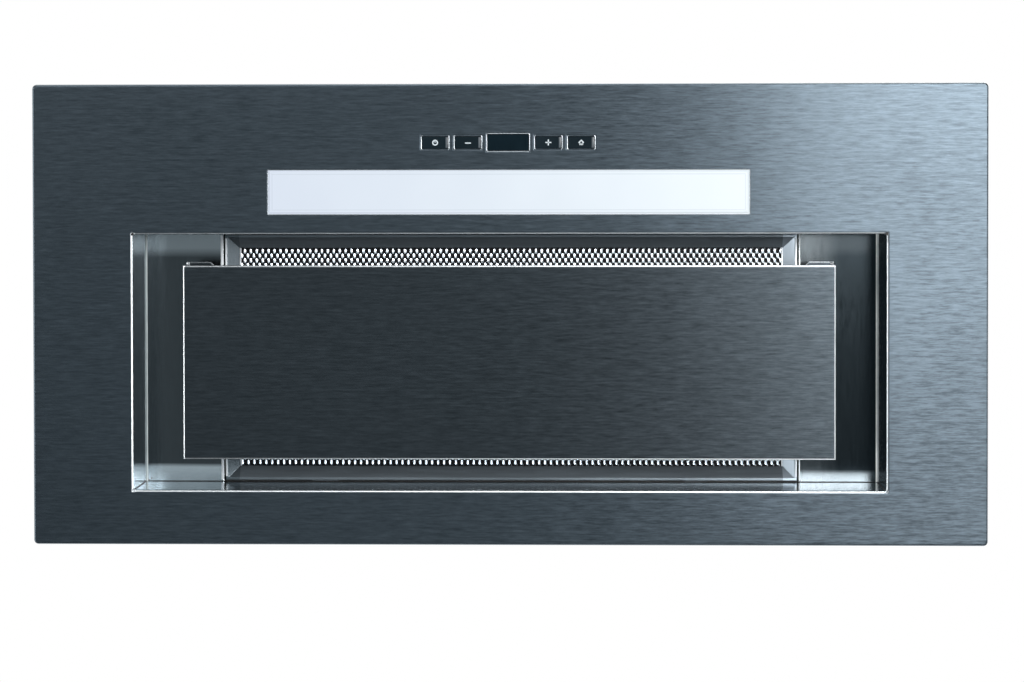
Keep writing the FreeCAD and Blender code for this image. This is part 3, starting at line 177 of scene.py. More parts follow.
floor = start(bpy.ops.mesh.primitive_plane_add, size=FLOOR_REACH, location=(0, 0, FLOOR_LEVEL))
floor.name = "floor"
wire(*finish("floor_paint", FLOOR_ROUGHNESS), Base_Color=FLOOR_COLOUR)
paint(floor, "floor_paint")
print("floor", -FLOOR_LEVEL, "m below the fascia")

# %% [markdown]
# ## Lamps
# A large soft lamp stands low on the right in front, and gives the fascia its sheen.
# Narrow ones at the sides light the folded edges, whose thin bright lines are partly painted highlight.

# %% Soft lamps
# Each row: place, the point it looks at, width, height and radiance, where 1 renders white.
LAMPS = {
    "key_right_below": ((1.21, -0.79, -1.9), (1.21, -0.79, 0), 1.6, 1.42, 15.2),
    "front_below": ((-0.5, -1.7, -1.5), (0, 0, 0), 1.6, 0.8, 6.0),
    "side_left": ((-1.9, -0.1, -0.75), (0, 0, 0), 1.8, 0.9, 5.6),
    "side_right": ((1.9, 0.1, -0.2), (0, 0, 0), 1.4, 0.3, 2.6),
    "front": ((0.6, -1.9, -0.6), (0, 0, 0), 1.8, 0.4, 4.0),
    "rear": ((0.3, 1.9, -0.7), (0, 0, 0), 2.0, 0.4, 2.5),
    "top": ((0.4, -0.6, 2.2), (0, 0, 0), 1.6, 1.6, 2.5),
}
LAMP_TINT = (1.0, 0.985, 0.965)


def lamp(name, place, target, width, height, radiance):
    """A rectangular lamp that the camera itself does not see."""
    light = bpy.data.lights.new(name, "AREA")
    light.shape = "RECTANGLE"
    light.size = width
    light.size_y = height
    light.energy = radiance * math.pi * width * height
    light.color = LAMP_TINT
    holder = added(name, light)
    holder.location = place
    aim = Vector(target) - Vector(place)
    holder.rotation_euler = aim.to_track_quat("-Z", "Y").to_euler()
    holder.visible_camera = False


for name, row in LAMPS.items():
    lamp(name, *row)
print("lamps:", ", ".join(LAMPS))

# %% [markdown]
# ## Helpers for finishes
# Every finish is a node tree on Object coordinates, so its grain stays with the part
# when a joint moves. A ramp turns a noise into two shades of the part's own colour,
# and the same noise drives roughness and a very shallow bump, because a brush leaves
# all three at once.

# %% Places and noises
# Most of a noise lies between these two.
NOISE_LOW, NOISE_HIGH = 0.3, 0.7


def places(tree, scale=(1, 1, 1)):
    """Object coordinates in metres, times a scale for each axis."""
    where = put(tree, "TexCoord").outputs["Object"]
    return put(tree, "Mapping", Vector=where, Scale=scale).outputs["Vector"]


def spot_of(tree):
    """Object coordinates as three outputs, X, Y and Z."""
    return put(tree, "SeparateXYZ", Vector=places(tree)).outputs


def noise(tree, vector, scale, detail, roughness):
    """A noise's grey value."""
    return put(tree, "TexNoise", Vector=vector, Scale=scale, Detail=detail,
               Roughness=roughness).outputs[0]


def spread(tree, value, low, high, start_at=NOISE_LOW, end_at=NOISE_HIGH):
    """Carry a value from one range over to low..high."""
    return put(tree, "MapRange", Value=value, From_Min=start_at, From_Max=end_at,
               To_Min=low, To_Max=high).outputs["Result"]


def mixed(tree, first, second, share):
    """A share of one value and the rest of another."""
    return calc(tree, "MULTIPLY_ADD", first, share, calc(tree, "MULTIPLY", second, 1 - share))


# %% Colours and bumps
def shades(tree, share, dark, light):
    """A colour between two shades."""
    ramp = put(tree, "ValToRGB", Fac=share)
    for stop, at, colour in zip(ramp.color_ramp.elements, (NOISE_LOW, NOISE_HIGH), (dark, light)):
        stop.position = at
        stop.color = (*colour, 1)
    return ramp.outputs["Color"]


def tinted(colour, factor):
    """A colour made darker or lighter."""
    return tuple(min(1.0, channel * factor) for channel in colour)


def toned(tree, share, colour, low, high):
    """A colour between two strengths of itself."""
    return shades(tree, share, tinted(colour, low), tinted(colour, high))


def blend_colour(tree, share, base, top):
    """A colour that turns from one output into a fixed colour as the share goes to 1."""
    node = put(tree, "Mix", {"data_type": "RGBA"}, Factor=share)
    feed(tree, node.inputs[6], base)
    feed(tree, node.inputs[7], (*top, 1))
    return node.outputs[2]


def bump(tree, height, distance, under=None):
    """A normal from a height, on top of another normal where there is one."""
    node = put(tree, "Bump", Height=height, Distance=distance)
    if under is not None:
        feed(tree, node.inputs["Normal"], under)
    return node.outputs["Normal"]


# %% [markdown]
# ## Brushed steel
# The sheet was brushed along its length before it was cut and folded, so the grain
# follows it round its folds: on an upright face, height counts as length or breadth.
# Every fold and cut edge gets a thin bright line of painted highlight, standing in for
# the lamps mirrored in its bend: a Bevel node finds the edges, and a slanting normal
# finds the folds.

# %% Along the sheet and round its folds
UPRIGHT = 0.7
BEVEL_SAMPLES = 6
EDGE_TURN = (0.80, 0.985)
FOLD_TURN = (0.88, 0.985)


def facing_of(tree):
    """How squarely a face looks along X, Y and Z, from 0 to 1."""
    size = put(tree, "VectorMath", {"operation": "ABSOLUTE"})
    feed(tree, size.inputs[0], put(tree, "TexCoord").outputs["Normal"])
    return put(tree, "SeparateXYZ", Vector=size.outputs["Vector"]).outputs


def sheet_places(tree):
    """Places on the unfolded sheet, along it and across it, and 1 on its upright faces."""
    spot, facing = spot_of(tree), facing_of(tree)
    on_front = calc(tree, "GREATER_THAN", facing["Y"], UPRIGHT)
    on_side = calc(tree, "GREATER_THAN", facing["X"], UPRIGHT)
    along = calc(tree, "MULTIPLY_ADD", spot["Z"], on_side, spot["X"])
    across = calc(tree, "MULTIPLY_ADD", spot["Z"], on_front, spot["Y"])
    return along, across, calc(tree, "MAXIMUM", on_front, on_side)


def folds(tree, reach):
    """Where the sheet is folded or cut, from 0 to 1, and its rounded normal."""
    rounded = put(tree, "Bevel", {"samples": BEVEL_SAMPLES}, Radius=reach).outputs["Normal"]
    agree = put(tree, "VectorMath", {"operation": "DOT_PRODUCT"})
    feed(tree, agree.inputs[0], rounded)
    feed(tree, agree.inputs[1], put(tree, "NewGeometry").outputs["True Normal"])
    at_edge = spread(tree, agree.outputs["Value"], 1, 0, *EDGE_TURN)
    facing = facing_of(tree)
    straight = calc(tree, "MAXIMUM", calc(tree, "MAXIMUM", facing["X"], facing["Y"]), facing["Z"])
    return calc(tree, "MAXIMUM", at_edge, spread(tree, straight, 1, 0, *FOLD_TURN)), rounded


# %% [markdown]
# ## Painted highlights on folds, and painted light and shade on the recess floor
# Only the folds round the mouth, the cover and the well get the painted highlight, less
# at the left and in front. The recess floor gets painted light along its front and rear
# bends, for the lamp light that these throw onto it, and painted shade at its right end.

# %% Where the painted highlights of folds go
RIM_CLEAR, WALL_CLEAR, WELL_CLEAR = 4 * MM, 20 * MM, 200 * MM
KEYS_CLEAR = -97 * MM
EDGE_SPAN = (-205 * MM, 120 * MM)
MOUTH_FRONT = -45 * MM
fascia_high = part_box("fascia_panel")[1]


def inside(tree, reach_x, reach_y):
    """1 within a distance of the hood's middle along x and along y, and 0 outside."""
    near = [calc(tree, "LESS_THAN", calc(tree, "ABSOLUTE", place), reach)
            for place, reach in zip(spot_of(tree), (reach_x, reach_y))]
    return calc(tree, "MINIMUM", *near)


def near_mouth(tree):
    """Where folds get their painted highlight: 1 round the recess mouth, the cover and the well, and 0 on
    all others.
    """
    spot = spot_of(tree)
    rim_free = inside(tree, fascia_high.x - RIM_CLEAR, fascia_high.y - RIM_CLEAR)
    rim_free = calc(tree, "MINIMUM", rim_free, calc(tree, "GREATER_THAN", spot["Y"], KEYS_CLEAR))
    low_enough = calc(tree, "LESS_THAN", spot["Z"], WALL_CLEAR)
    well = inside(tree, WELL_CLEAR, fascia_high.y)
    return calc(tree, "MINIMUM", rim_free, calc(tree, "MAXIMUM", low_enough, well))


def dimmed(tree, value, where, share):
    """A value, and a share of it where another value is 1."""
    return calc(tree, "MULTIPLY", value, calc(tree, "MULTIPLY_ADD", where, share - 1, 1))


def painted_highlight_share(tree, end_band, left, front, right):
    """The share of the painted highlight that folds keep, by place. Between the end bands it rises
    from the left and is cut at the mouth's front. Beyond them it is whole at the left, and cut at the
    right."""
    spot = spot_of(tree)
    shine = spread(tree, spot["X"], left, 1, *EDGE_SPAN)
    shine = dimmed(tree, shine, calc(tree, "LESS_THAN", spot["Y"], MOUTH_FRONT), front)
    shine = calc(tree, "MAXIMUM", shine, calc(tree, "LESS_THAN", spot["X"], -end_band))
    return dimmed(tree, shine, calc(tree, "GREATER_THAN", spot["X"], end_band), right)


# %% Painted light and painted shade on the recess floor
# Painted light along the front and rear bends, for the lamp light that these throw onto the floor, and
# painted shade at its right end.
RECESS_PAINTED_LIGHT = (0.70, 0.77, 0.82)
RECESS_PAINTED_SHADE = (0.019, 0.026, 0.031)
RIGHT_END, RIGHT_SHARE = (193 * MM, 212 * MM), 0.95
REAR_ZONE, REAR_SHARES = (100.5 * MM, 103 * MM), (0.95, 0.17)
REAR_SLANT = 0.0085
FRONT_ZONE, FRONT_SHARES = (-41 * MM, -35 * MM), (0.36, 0.02)


def recess_painted_light_and_shade(tree, grain):
    """The recess floor's colour, with painted light near the front and rear bends and painted shade at its
    right end.
    """
    spot = spot_of(tree)
    across_well = (-WELL_CLEAR, WELL_CLEAR)
    right = spread(tree, spot["X"], 0, RIGHT_SHARE, *RIGHT_END)
    slant = calc(tree, "MULTIPLY_ADD", spot["X"], -REAR_SLANT, spot["Y"])
    rear = calc(tree, "MULTIPLY", spread(tree, slant, 0, 1, *REAR_ZONE),
                spread(tree, spot["X"], *REAR_SHARES, *across_well))
    front = calc(tree, "MULTIPLY", spread(tree, spot["Y"], 1, 0, *FRONT_ZONE),
                 spread(tree, spot["X"], *FRONT_SHARES, *across_well))
    # Painted shade at the right end, then painted light along the bends.
    dark = blend_colour(tree, right, grain, RECESS_PAINTED_SHADE)
    return blend_colour(tree, calc(tree, "MAXIMUM", rear, front), dark, RECESS_PAINTED_LIGHT)


# %% [markdown]
# ## The brushed finish itself
# The scratches are a few centimetres long and a fraction of a millimetre wide, so the
# noise is squeezed hard across the grain. Light spreads across the scratches, which the
# shader's anisotropy gives, with its tangent square to the grain.

# %% Brushed finish
FINE_GRAIN, BROAD_GRAIN = (105, 900), (45, 480)
FINE_SHARE = 0.6
SOFT_SCALE, SOFT_SHARE = 7, 0.15
GRAIN_CONTRAST = 0.34
# The grain's colour contrast rises towards the right: partly real grain, partly painted sheen where the
# lamp light shows it.
GRAIN_GAIN, GRAIN_SPAN = (0.8, 2.1), (-60 * MM, 260 * MM)
SCRATCH_DEPTH = 0.05 * MM
TANGENT_LIFT = 0.15
STEEL_ROUGHNESS, STEEL_STRETCH = 0.35, 0.765
WALL_GREY = (0.42, 0.47, 0.50)
# Colour of the painted highlight on folds and cut edges.
PAINTED_FOLD_HIGHLIGHT = (0.86, 0.90, 0.94)


def grain_noise(tree, along, across, scales, detail, roughness):
    """A noise squeezed across the grain."""
    squeezed = put(tree, "CombineXYZ", X=calc(tree, "MULTIPLY", along, scales[0]),
                   Y=calc(tree, "MULTIPLY", across, scales[1]))
    return noise(tree, squeezed.outputs[0], 1, detail, roughness)


def brushed(name, colour, roughness=STEEL_ROUGHNESS, stretch=STEEL_STRETCH, along_x=True,
            contrast=GRAIN_CONTRAST, reach=None, wall_roughness=None, zones=False, shine=None):
    """Steel sheet brushed along x, or along y, with a painted highlight on its folds where a reach is
    given, and the recess floor's painted light and shade where zones is set.
    """
    tree, shader = finish(name, roughness, 1.0)
    along, across, upright = sheet_places(tree)
    if not along_x:
        along, across = across, along
    fine = grain_noise(tree, along, across, FINE_GRAIN, 3, 0.7)
    broad = grain_noise(tree, along, across, BROAD_GRAIN, 4, 0.6)
    lines = mixed(tree, fine, broad, FINE_SHARE)
    soft = mixed(tree, noise(tree, places(tree), SOFT_SCALE, 2, 0.5), lines, SOFT_SHARE)
    # Painted sheen: the grain's contrast grows towards the right, where the lamp light shows it.
    gain = spread(tree, spot_of(tree)["X"], *GRAIN_GAIN, *GRAIN_SPAN)
    grain_and_sheen = calc(tree, "MULTIPLY_ADD", calc(tree, "SUBTRACT", soft, 0.5), gain, 0.5)
    metal = toned(tree, grain_and_sheen, colour, 1 - contrast, 1 + contrast)
    # Painted light near the recess floor's bends and painted shade at its right end.
    if zones:
        metal = recess_painted_light_and_shade(tree, metal)
    gloss = spread(tree, lines, roughness - 0.05, roughness + 0.06)
    if wall_roughness:
        change = calc(tree, "MULTIPLY", upright, roughness - wall_roughness)
        gloss = calc(tree, "SUBTRACT", gloss, change)
        metal = blend_colour(tree, upright, metal, WALL_GREY)
    rounded = None
    # Painted highlight on folds and cut edges, where a reach is given.
    if reach:
        bright, rounded = folds(tree, reach)
        bright = calc(tree, "MULTIPLY", bright, near_mouth(tree))
        if shine:
            bright = calc(tree, "MULTIPLY", bright, painted_highlight_share(tree, *shine))
        metal = blend_colour(tree, bright, metal, PAINTED_FOLD_HIGHLIGHT)
    square = put(tree, "CombineXYZ", X=float(not along_x), Y=float(along_x), Z=TANGENT_LIFT)
    wire(tree, shader, Base_Color=metal, Roughness=gloss, Tangent=square.outputs[0],
         Normal=bump(tree, lines, SCRATCH_DEPTH, rounded), Anisotropic=stretch)


# %% Brushed sheets
STEEL_BLUE = (0.061, 0.078, 0.094)
COVER_BLUE = (0.042, 0.052, 0.061)
RECESS_GREY = (0.080, 0.093, 0.102)

# Painted highlight on folds: the end band, and the shares left, in front and beyond the right end band.
brushed("fascia_steel", STEEL_BLUE, reach=1.1 * MM, wall_roughness=0.14,
        shine=(235 * MM, 0.5, 0.5, 0.5))
brushed("cover_steel", COVER_BLUE, reach=1.3 * MM, shine=(203.5 * MM, 0.25, 1, 1))
brushed("recess_steel", RECESS_GREY, 0.20, 0.0, along_x=False, contrast=0.12, reach=1.4 * MM,
        zones=True)
# The long bars of the button rims: the chrome painted in the fascia's darker steel, as painted shade.
brushed("rim_bar_shade_steel", STEEL_BLUE)
print("finishes:", ", ".join(finishes))

# %% [markdown]
# ## Plated, galvanised and painted metal
# The casings behind the fascia are galvanised: zinc freezes in flat crystals of about
# a centimetre, each a slightly different grey, which a Voronoi pattern gives. Small
# steel parts are zinc-plated and smoother, and the filter is rolled aluminium, whose
# strands get painted light, less and less towards the left.

# %% Metals
ZINC_CRYSTALS, ZINC_SHARE, ZINC_DEPTH = 125, 0.65, 0.03 * MM
CASING_FOLD = 1.6 * MM
ROLLING, ROLLING_DEPTH = (20, 20, 700), 0.01 * MM
# Beyond this the frame's ends take other colours: painted shade at the left, painted light at the right.
END_FROM = 176 * MM
FINE_SCALE = 900
# Painted light on the strands: shaded at the left and lit at the right.
STRAND_PAINTED_SHADE, STRAND_PAINTED_LIGHT = (0.10, 0.12, 0.14), (0.86, 0.88, 0.90)
STRAND_TURN = (-40 * MM, 150 * MM)


def plated(name, colour, roughness, cloud=60, metallic=1.0):
    """Plated metal with faint clouds in its gloss."""
    tree, shader = finish(name, roughness, metallic)
    clouds = noise(tree, places(tree), cloud, 4, 0.6)
    wire(tree, shader, Base_Color=toned(tree, clouds, colour, 0.9, 1.08),
         Roughness=spread(tree, clouds, roughness * 0.75, roughness * 1.35))


def galvanised(name, colour, roughness):
    """Hot-dipped sheet with its zinc crystals."""
    tree, shader = finish(name, roughness, 1.0)
    where = places(tree)
    crystals = put(tree, "TexVoronoi", Vector=where, Scale=ZINC_CRYSTALS)
    tone = put(tree, "SeparateColor", Color=crystals.outputs["Color"]).outputs[0]
    zinc = mixed(tree, tone, noise(tree, where, FINE_SCALE, 3, 0.6), ZINC_SHARE)
    wire(tree, shader, Base_Color=toned(tree, zinc, colour, 0.91, 1.07),
         Roughness=spread(tree, zinc, roughness - 0.03, roughness + 0.05),
         Normal=bump(tree, zinc, ZINC_DEPTH, folds(tree, CASING_FOLD)[1]))


def rolled(name, colour, roughness, reach=None, ends=None, metallic=1.0):
    """Rolled aluminium with fine lines, rounded edges where a reach is given, and painted shade or light
    at its ends where ends are given.
    """
    tree, shader = finish(name, roughness, metallic)
    lines = noise(tree, places(tree, ROLLING), 1, 3, 0.6)
    metal = toned(tree, lines, colour, 0.9, 1.08)
    # Painted shade and painted light: other colours beyond the left and right ends.
    if ends:
        along = spot_of(tree)["X"]
        metal = blend_colour(tree, calc(tree, "LESS_THAN", along, -END_FROM), metal, ends[0])
        metal = blend_colour(tree, calc(tree, "GREATER_THAN", along, END_FROM), metal, ends[1])
    rounded = folds(tree, reach)[1] if reach else None
    wire(tree, shader, Base_Color=metal, Roughness=spread(tree, lines, roughness - 0.04, roughness + 0.05),
         Normal=bump(tree, lines, ROLLING_DEPTH, rounded))


def strands(name):
    """Aluminium with painted shade at the left and painted light at the right."""
    tree, shader = finish(name, 0.26, 1.0)
    share = spread(tree, spot_of(tree)["X"], NOISE_LOW, NOISE_HIGH, *STRAND_TURN)
    grain = noise(tree, places(tree), FINE_SCALE, 2, 0.5)
    wire(tree, shader, Base_Color=shades(tree, share, STRAND_PAINTED_SHADE, STRAND_PAINTED_LIGHT),
         Roughness=spread(tree, grain, 0.22, 0.34))


# %% Metal parts
galvanised("casing_zinc", (0.38, 0.40, 0.412), 0.5)
plated("bright_zinc", (0.62, 0.63, 0.64), 0.28)
plated("spring_steel", (0.55, 0.56, 0.57), 0.2)
plated("nickel_plate", (0.72, 0.70, 0.67), 0.16)
plated("bezel_chrome", (0.34, 0.37, 0.40), 0.2)
plated("motor_paint", (0.09, 0.095, 0.10), 0.4, cloud=300, metallic=0.3)
# The frame: painted shade at its left end and painted light at its right end.
rolled("frame_aluminium", (0.165, 0.195, 0.222), 0.32, reach=0.6 * MM,
       ends=((0.105, 0.130, 0.150), (0.34, 0.40, 0.46)), metallic=0.6)
rolled("mesh_aluminium", (0.68, 0.76, 0.84), 0.28)
# Near black: the painted shade of the filter's unlit inside, seen through the mesh.
rolled("core_shade_aluminium", (0.02, 0.02, 0.022), 0.6)
strands("strand_aluminium")
print("finishes:", len(finishes))

# %% [markdown]
# ## Plastics
# Moulded parts have the fine even grain of an eroded tool. It is too small to model,
# so a noise of a few tenths of a millimetre goes into the bump, and a second, slower
# one into the gloss. Clear and glossy parts leave the grain out.

# %% Plastics
TOOL_GRAIN = 2600
FLOW_SCALE = 40


def moulded(name, colour, roughness, grain=0.04 * MM, shine=0.5):
    """Injection-moulded plastic with a tool's fine grain."""
    tree, shader = finish(name, roughness)
    where = places(tree)
    slow = noise(tree, where, FLOW_SCALE, 3, 0.5)
    wire(tree, shader, Base_Color=toned(tree, slow, colour, 0.9, 1.1),
         Roughness=spread(tree, slow, roughness - 0.05, roughness + 0.07),
         Normal=bump(tree, noise(tree, where, TOOL_GRAIN, 2, 0.5), grain), Specular_IOR_Level=shine)


moulded("latch_nylon", (0.030, 0.031, 0.033), 0.45)
moulded("collar_plastic", (0.035, 0.036, 0.038), 0.48)
moulded("flap_plastic", (0.055, 0.056, 0.06), 0.5)
moulded("wheel_plastic", (0.07, 0.072, 0.075), 0.5)
moulded("terminal_plastic", (0.42, 0.43, 0.44), 0.46)
moulded("gland_nylon", (0.022, 0.022, 0.023), 0.42)
moulded("white_plastic", (0.74, 0.74, 0.71), 0.45)
moulded("grommet_rubber", (0.012, 0.012, 0.012), 0.75, 0.08 * MM)
moulded("button_black", (0.004, 0.008, 0.011), 0.2, 0.01 * MM, shine=0.09)
moulded("lamp_phosphor", (0.85, 0.72, 0.30), 0.5)
moulded("symbol_grey", (0.33, 0.37, 0.40), 0.4, 0.01 * MM)
moulded("lip_black", (0.05, 0.06, 0.07), 0.3, 0.01 * MM)
# Near black for painted shade: the relief holes, the corner seams and the rear fold.
moulded("shade_black", (0.004, 0.004, 0.005), 0.7, 0.02 * MM)
print("finishes:", len(finishes))

# %% [markdown]
# ## Light strip, display and circuit board
# The diffuser is frosted acrylic with the lamps behind it switched on at a low level,
# so it glows evenly, a little more to the right. The display is a smoked window, dark
# while the hood is off. The board shows its tracks as a faint grid under green lacquer.

# %% Glow, glass and board
GLOW_LEFT, GLOW_RIGHT = (0.70, 0.77, 0.90), (0.84, 0.92, 0.97)
GLOW_STRENGTH = 0.70
GLOW_CLOUD = 0.03
GLOW_LINE, GLOW_LINE_HALF, GLOW_LINE_SHARE = 4.1 * MM, 0.3 * MM, 0.5
GLOW_LINE_TINT = (0.55, 0.62, 0.70)
ACRYLIC = (0.10, 0.11, 0.12, 1)
TRACK_SCALE = 120


def glowing(name, node):
    """Frosted acrylic of a node, lighter to the right, with the line of its step near its edge."""
    tree, shader = finish(name, 0.32)
    low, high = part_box(node)
    spot = spot_of(tree)
    share = spread(tree, spot["X"], NOISE_LOW, NOISE_HIGH, low.x, high.x)
    cloud = noise(tree, places(tree), 25, 2, 0.5)
    to_edge = []
    for axis in (0, 1):
        off_middle = calc(tree, "SUBTRACT", spot[axis], (low[axis] + high[axis]) / 2)
        to_edge.append(calc(tree, "SUBTRACT", (high[axis] - low[axis]) / 2,
                            calc(tree, "ABSOLUTE", off_middle)))
    line = calc(tree, "COMPARE", calc(tree, "MINIMUM", *to_edge), GLOW_LINE, GLOW_LINE_HALF)
    colour = shades(tree, calc(tree, "MULTIPLY_ADD", cloud, GLOW_CLOUD, share), GLOW_LEFT, GLOW_RIGHT)
    colour = blend_colour(tree, calc(tree, "MULTIPLY", line, GLOW_LINE_SHARE), colour, GLOW_LINE_TINT)
    wire(tree, shader, Base_Color=ACRYLIC, Roughness=spread(tree, cloud, 0.28, 0.38),
         Emission_Color=colour, Emission_Strength=GLOW_STRENGTH)


def smoked(name, colour):
    """Dark glossy window with the faintest smears."""
    tree, shader = finish(name, 0.1)
    smears = noise(tree, places(tree), 120, 3, 0.6)
    wire(tree, shader, Base_Color=toned(tree, smears, colour, 0.9, 1.1),
         Roughness=spread(tree, smears, 0.07, 0.14), Specular_IOR_Level=0.03)


def circuit(name, colour):
    """Green lacquer over copper tracks."""
    tree, shader = finish(name, 0.3)
    tracks = put(tree, "TexBrick", Vector=places(tree), Scale=TRACK_SCALE)
    for socket, factor in (("Color1", 0.85), ("Color2", 1), ("Mortar", 1.8)):
        tracks.inputs[socket].default_value = (*tinted(colour, factor), 1)
    wire(tree, shader, Base_Color=tracks.outputs["Color"],
         Roughness=spread(tree, tracks.outputs["Fac"], 0.25, 0.4, 0, 1))


glowing("diffuser_glow", "led_diffuser")
smoked("display_glass", (0.003, 0.007, 0.010))
circuit("board_green", (0.02, 0.12, 0.05))
print("finishes:", len(finishes))

# %% [markdown]
# ## Finishes on the frame's nodes
# Each node gets the finish of the real part. What is not named here is a small pressed
# part of zinc-plated steel.

# %% Finishes on the frame's nodes
NODES_IN = {
    "fascia_steel": "fascia_panel",
    "cover_steel": "cover_panel",
    "recess_steel": "recess_floor",
    "frame_aluminium": "filter_frame",
    "mesh_aluminium": "filter_front_mesh filter_rear_mesh",
    "core_shade_aluminium": "filter_core",
    "spring_steel": "latch_springs keeper_springs",
    "nickel_plate": "magnets",
    "bezel_chrome": "button_bezels display_bezel",
    "display_glass": "display_window",
    "button_black": "display_module tact_switches button_power button_minus button_plus button_light",
    "diffuser_glow": "led_diffuser",
    "board_green": "led_board control_board",
    "lamp_phosphor": "led_chips",
    "white_plastic": "led_driver capacitor",
    "casing_zinc": "lower_casing blower_box",
    "collar_plastic": "duct_collar volute_left volute_right",
    "flap_plastic": "flap_left flap_right",
    "wheel_plastic": "impeller",
    "motor_paint": "motor_case",
    "grommet_rubber": "grommets",
    "terminal_plastic": "terminal_box terminal_lid",
    "gland_nylon": "cable_gland",
    "latch_nylon": "control_frame magnet_posts filter_latch_left filter_latch_right",
}
finish_of = {node: name for name, nodes in NODES_IN.items() for node in nodes.split()}
for node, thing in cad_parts.items():
    paint(thing, finish_of.get(node, "bright_zinc"))
print("nodes in plain zinc:", sorted(set(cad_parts) - set(finish_of)))

# %% [markdown]
# ## Helpers for modelling
# A new piece starts as a primitive that is shaped in edit mode. Each operator there
# acts on what is selected, so one helper selects faces or edges by a test, and others
# put the piece's place into its mesh, apply its modifiers, and hand it to its body.

# %% Selecting and editing
def only(thing):
    """Select and activate one object alone."""
    bpy.ops.object.select_all(action="DESELECT")
    thing.select_set(True)
    bpy.context.view_layer.objects.active = thing


def settle(thing):
    """Put an object's place into its mesh."""
    only(thing)
    bpy.ops.object.transform_apply(location=True, rotation=True, scale=True)


def edit(thing):
    """Open an object's mesh for editing, all of it selected."""
    only(thing)
    bpy.ops.object.mode_set(mode="EDIT")
    bpy.ops.mesh.select_all(action="SELECT")


def leave():
    """Leave edit mode."""
    bpy.ops.object.mode_set(mode="OBJECT")


def middle_of(item):
    """The middle of an edge or a face."""
    return sum((corner.co for corner in item.verts), Vector()) / len(item.verts)


def pick(thing, kind, test):
    """In edit mode, select only the edges or faces that pass a test."""
    bpy.ops.mesh.select_all(action="DESELECT")
    net = bmesh.from_edit_mesh(thing.data)
    for item in [item for item in getattr(net, kind) if test(item)]:
        item.select_set(True)
    bmesh.update_edit_mesh(thing.data)


def extrude(step):
    """Extrude what is selected."""
    bpy.ops.mesh.extrude_region_move(TRANSFORM_OT_translate={"value": step})


def tidy(merge=0.01 * MM):
    """Merge doubles, turn the faces outwards and leave edit mode."""
    bpy.ops.mesh.select_all(action="SELECT")
    bpy.ops.mesh.remove_doubles(threshold=merge)
    bpy.ops.mesh.normals_make_consistent(inside=False)
    leave()


# %% Sheets, walls and edges
SMOOTH_ANGLE = math.radians(35)


def slab(width, depth, place, turn=0.0):
    """A flat plane of a given size at a place, to be shaped."""
    sheet = start(bpy.ops.mesh.primitive_plane_add, size=1, location=place,
                  rotation=(0, 0, turn))
    sheet.scale = (width, depth, 1)
    settle(sheet)
    return sheet


def apply_all(thing):
    """Apply an object's modifiers in their order."""
    only(thing)
    for modifier in list(thing.modifiers):
        bpy.ops.object.modifier_apply(modifier=modifier.name)


def thicken(thing, thickness, offset=1.0):
    """Give a flat piece its thickness."""
    wall = thing.modifiers.new("wall", "SOLIDIFY")
    wall.thickness = thickness
    wall.offset = offset


def round_edges(thing, width, segments=3, angle=40):
    """Bevel the edges sharper than an angle."""
    rounding = thing.modifiers.new("rounding", "BEVEL")
    rounding.width = width
    rounding.segments = segments
    rounding.limit_method = "ANGLE"
    rounding.angle_limit = math.radians(angle)


def joined(things):
    """Make several objects one."""
    only(things[0])
    for thing in things[1:]:
        thing.select_set(True)
    bpy.ops.object.join()
    return things[0]


def hand_over(thing, name, body="hood", made=None, replaced=None):
    """Apply a piece's modifiers, give it its name and finish, and let it ride on its body."""
    apply_all(thing)
    bpy.ops.object.shade_smooth_by_angle(angle=SMOOTH_ANGLE)
    thing.name = name
    if made:
        paint(thing, made)
    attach(thing, body)
    if replaced:
        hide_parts(replaced)
    print(name, "faces", len(thing.data.polygons))


# %% [markdown]
# ## Expanded mesh of the filter
# Expanded metal is slit and pulled, so it is one net of small tilted lozenges, the
# bonds, joined by thin strands. One bond is a disc whose eight corners are moved, and
# the two strands that leave it to the right are extruded from its edges.

# %% One bond of the mesh
BOND_PITCH = (3.87 * MM, 6.1 * MM)
BOND_LONG, BOND_SHORT = 1.42 * MM, 0.68 * MM
BOND_CORNER = 0.42
BOND_CROWN = 0.14 * MM
SLANT_LEAST = 0.1 * MM
MESH_TILT = 0.32
MESH_SHEET = 0.28 * MM


def bond_cell():
    """One bond with its crown and the two strands on its right."""
    cell = start(bpy.ops.mesh.primitive_circle_add, vertices=8, radius=1, fill_type="TRIFAN",
                 rotation=(0, 0, math.pi / 8))
    settle(cell)
    for corner in cell.data.vertices:
        if corner.co.length < 0.5:
            corner.co.z = -BOND_CROWN
            continue
        steep = abs(corner.co.y) > abs(corner.co.x)
        corner.co.x = math.copysign(BOND_SHORT * (BOND_CORNER if steep else 1), corner.co.x)
        corner.co.y = math.copysign(BOND_LONG * (1 if steep else BOND_CORNER), corner.co.y)
        corner.co.z = corner.co.x * MESH_TILT
    reach_x, reach_y = BOND_SHORT * (1 + BOND_CORNER), BOND_LONG * (1 + BOND_CORNER)
    for side in (-1, 1):
        def leaves_here(edge):
            """The slanted outer edge on the right that faces this side."""
            middle = middle_of(edge)
            step = edge.verts[0].co - edge.verts[1].co
            slanted = min(abs(step.x), abs(step.y)) > SLANT_LEAST
            return (edge.is_boundary and slanted and middle.y * side > 0
                    and 0 < middle.x < BOND_SHORT)

        edit(cell)
        pick(cell, "edges", leaves_here)
        extrude((BOND_PITCH[0] / 2 - reach_x, side * (BOND_PITCH[1] / 2 - reach_y),
                 -reach_x * MESH_TILT))
        leave()
    paint(cell, "mesh_aluminium", "strand_aluminium")
    for face in cell.data.polygons:
        face.material_index = 1 if len(face.vertices) == 4 else 0
    print("one bond with its strands has", len(cell.data.polygons), "faces")
    return cell


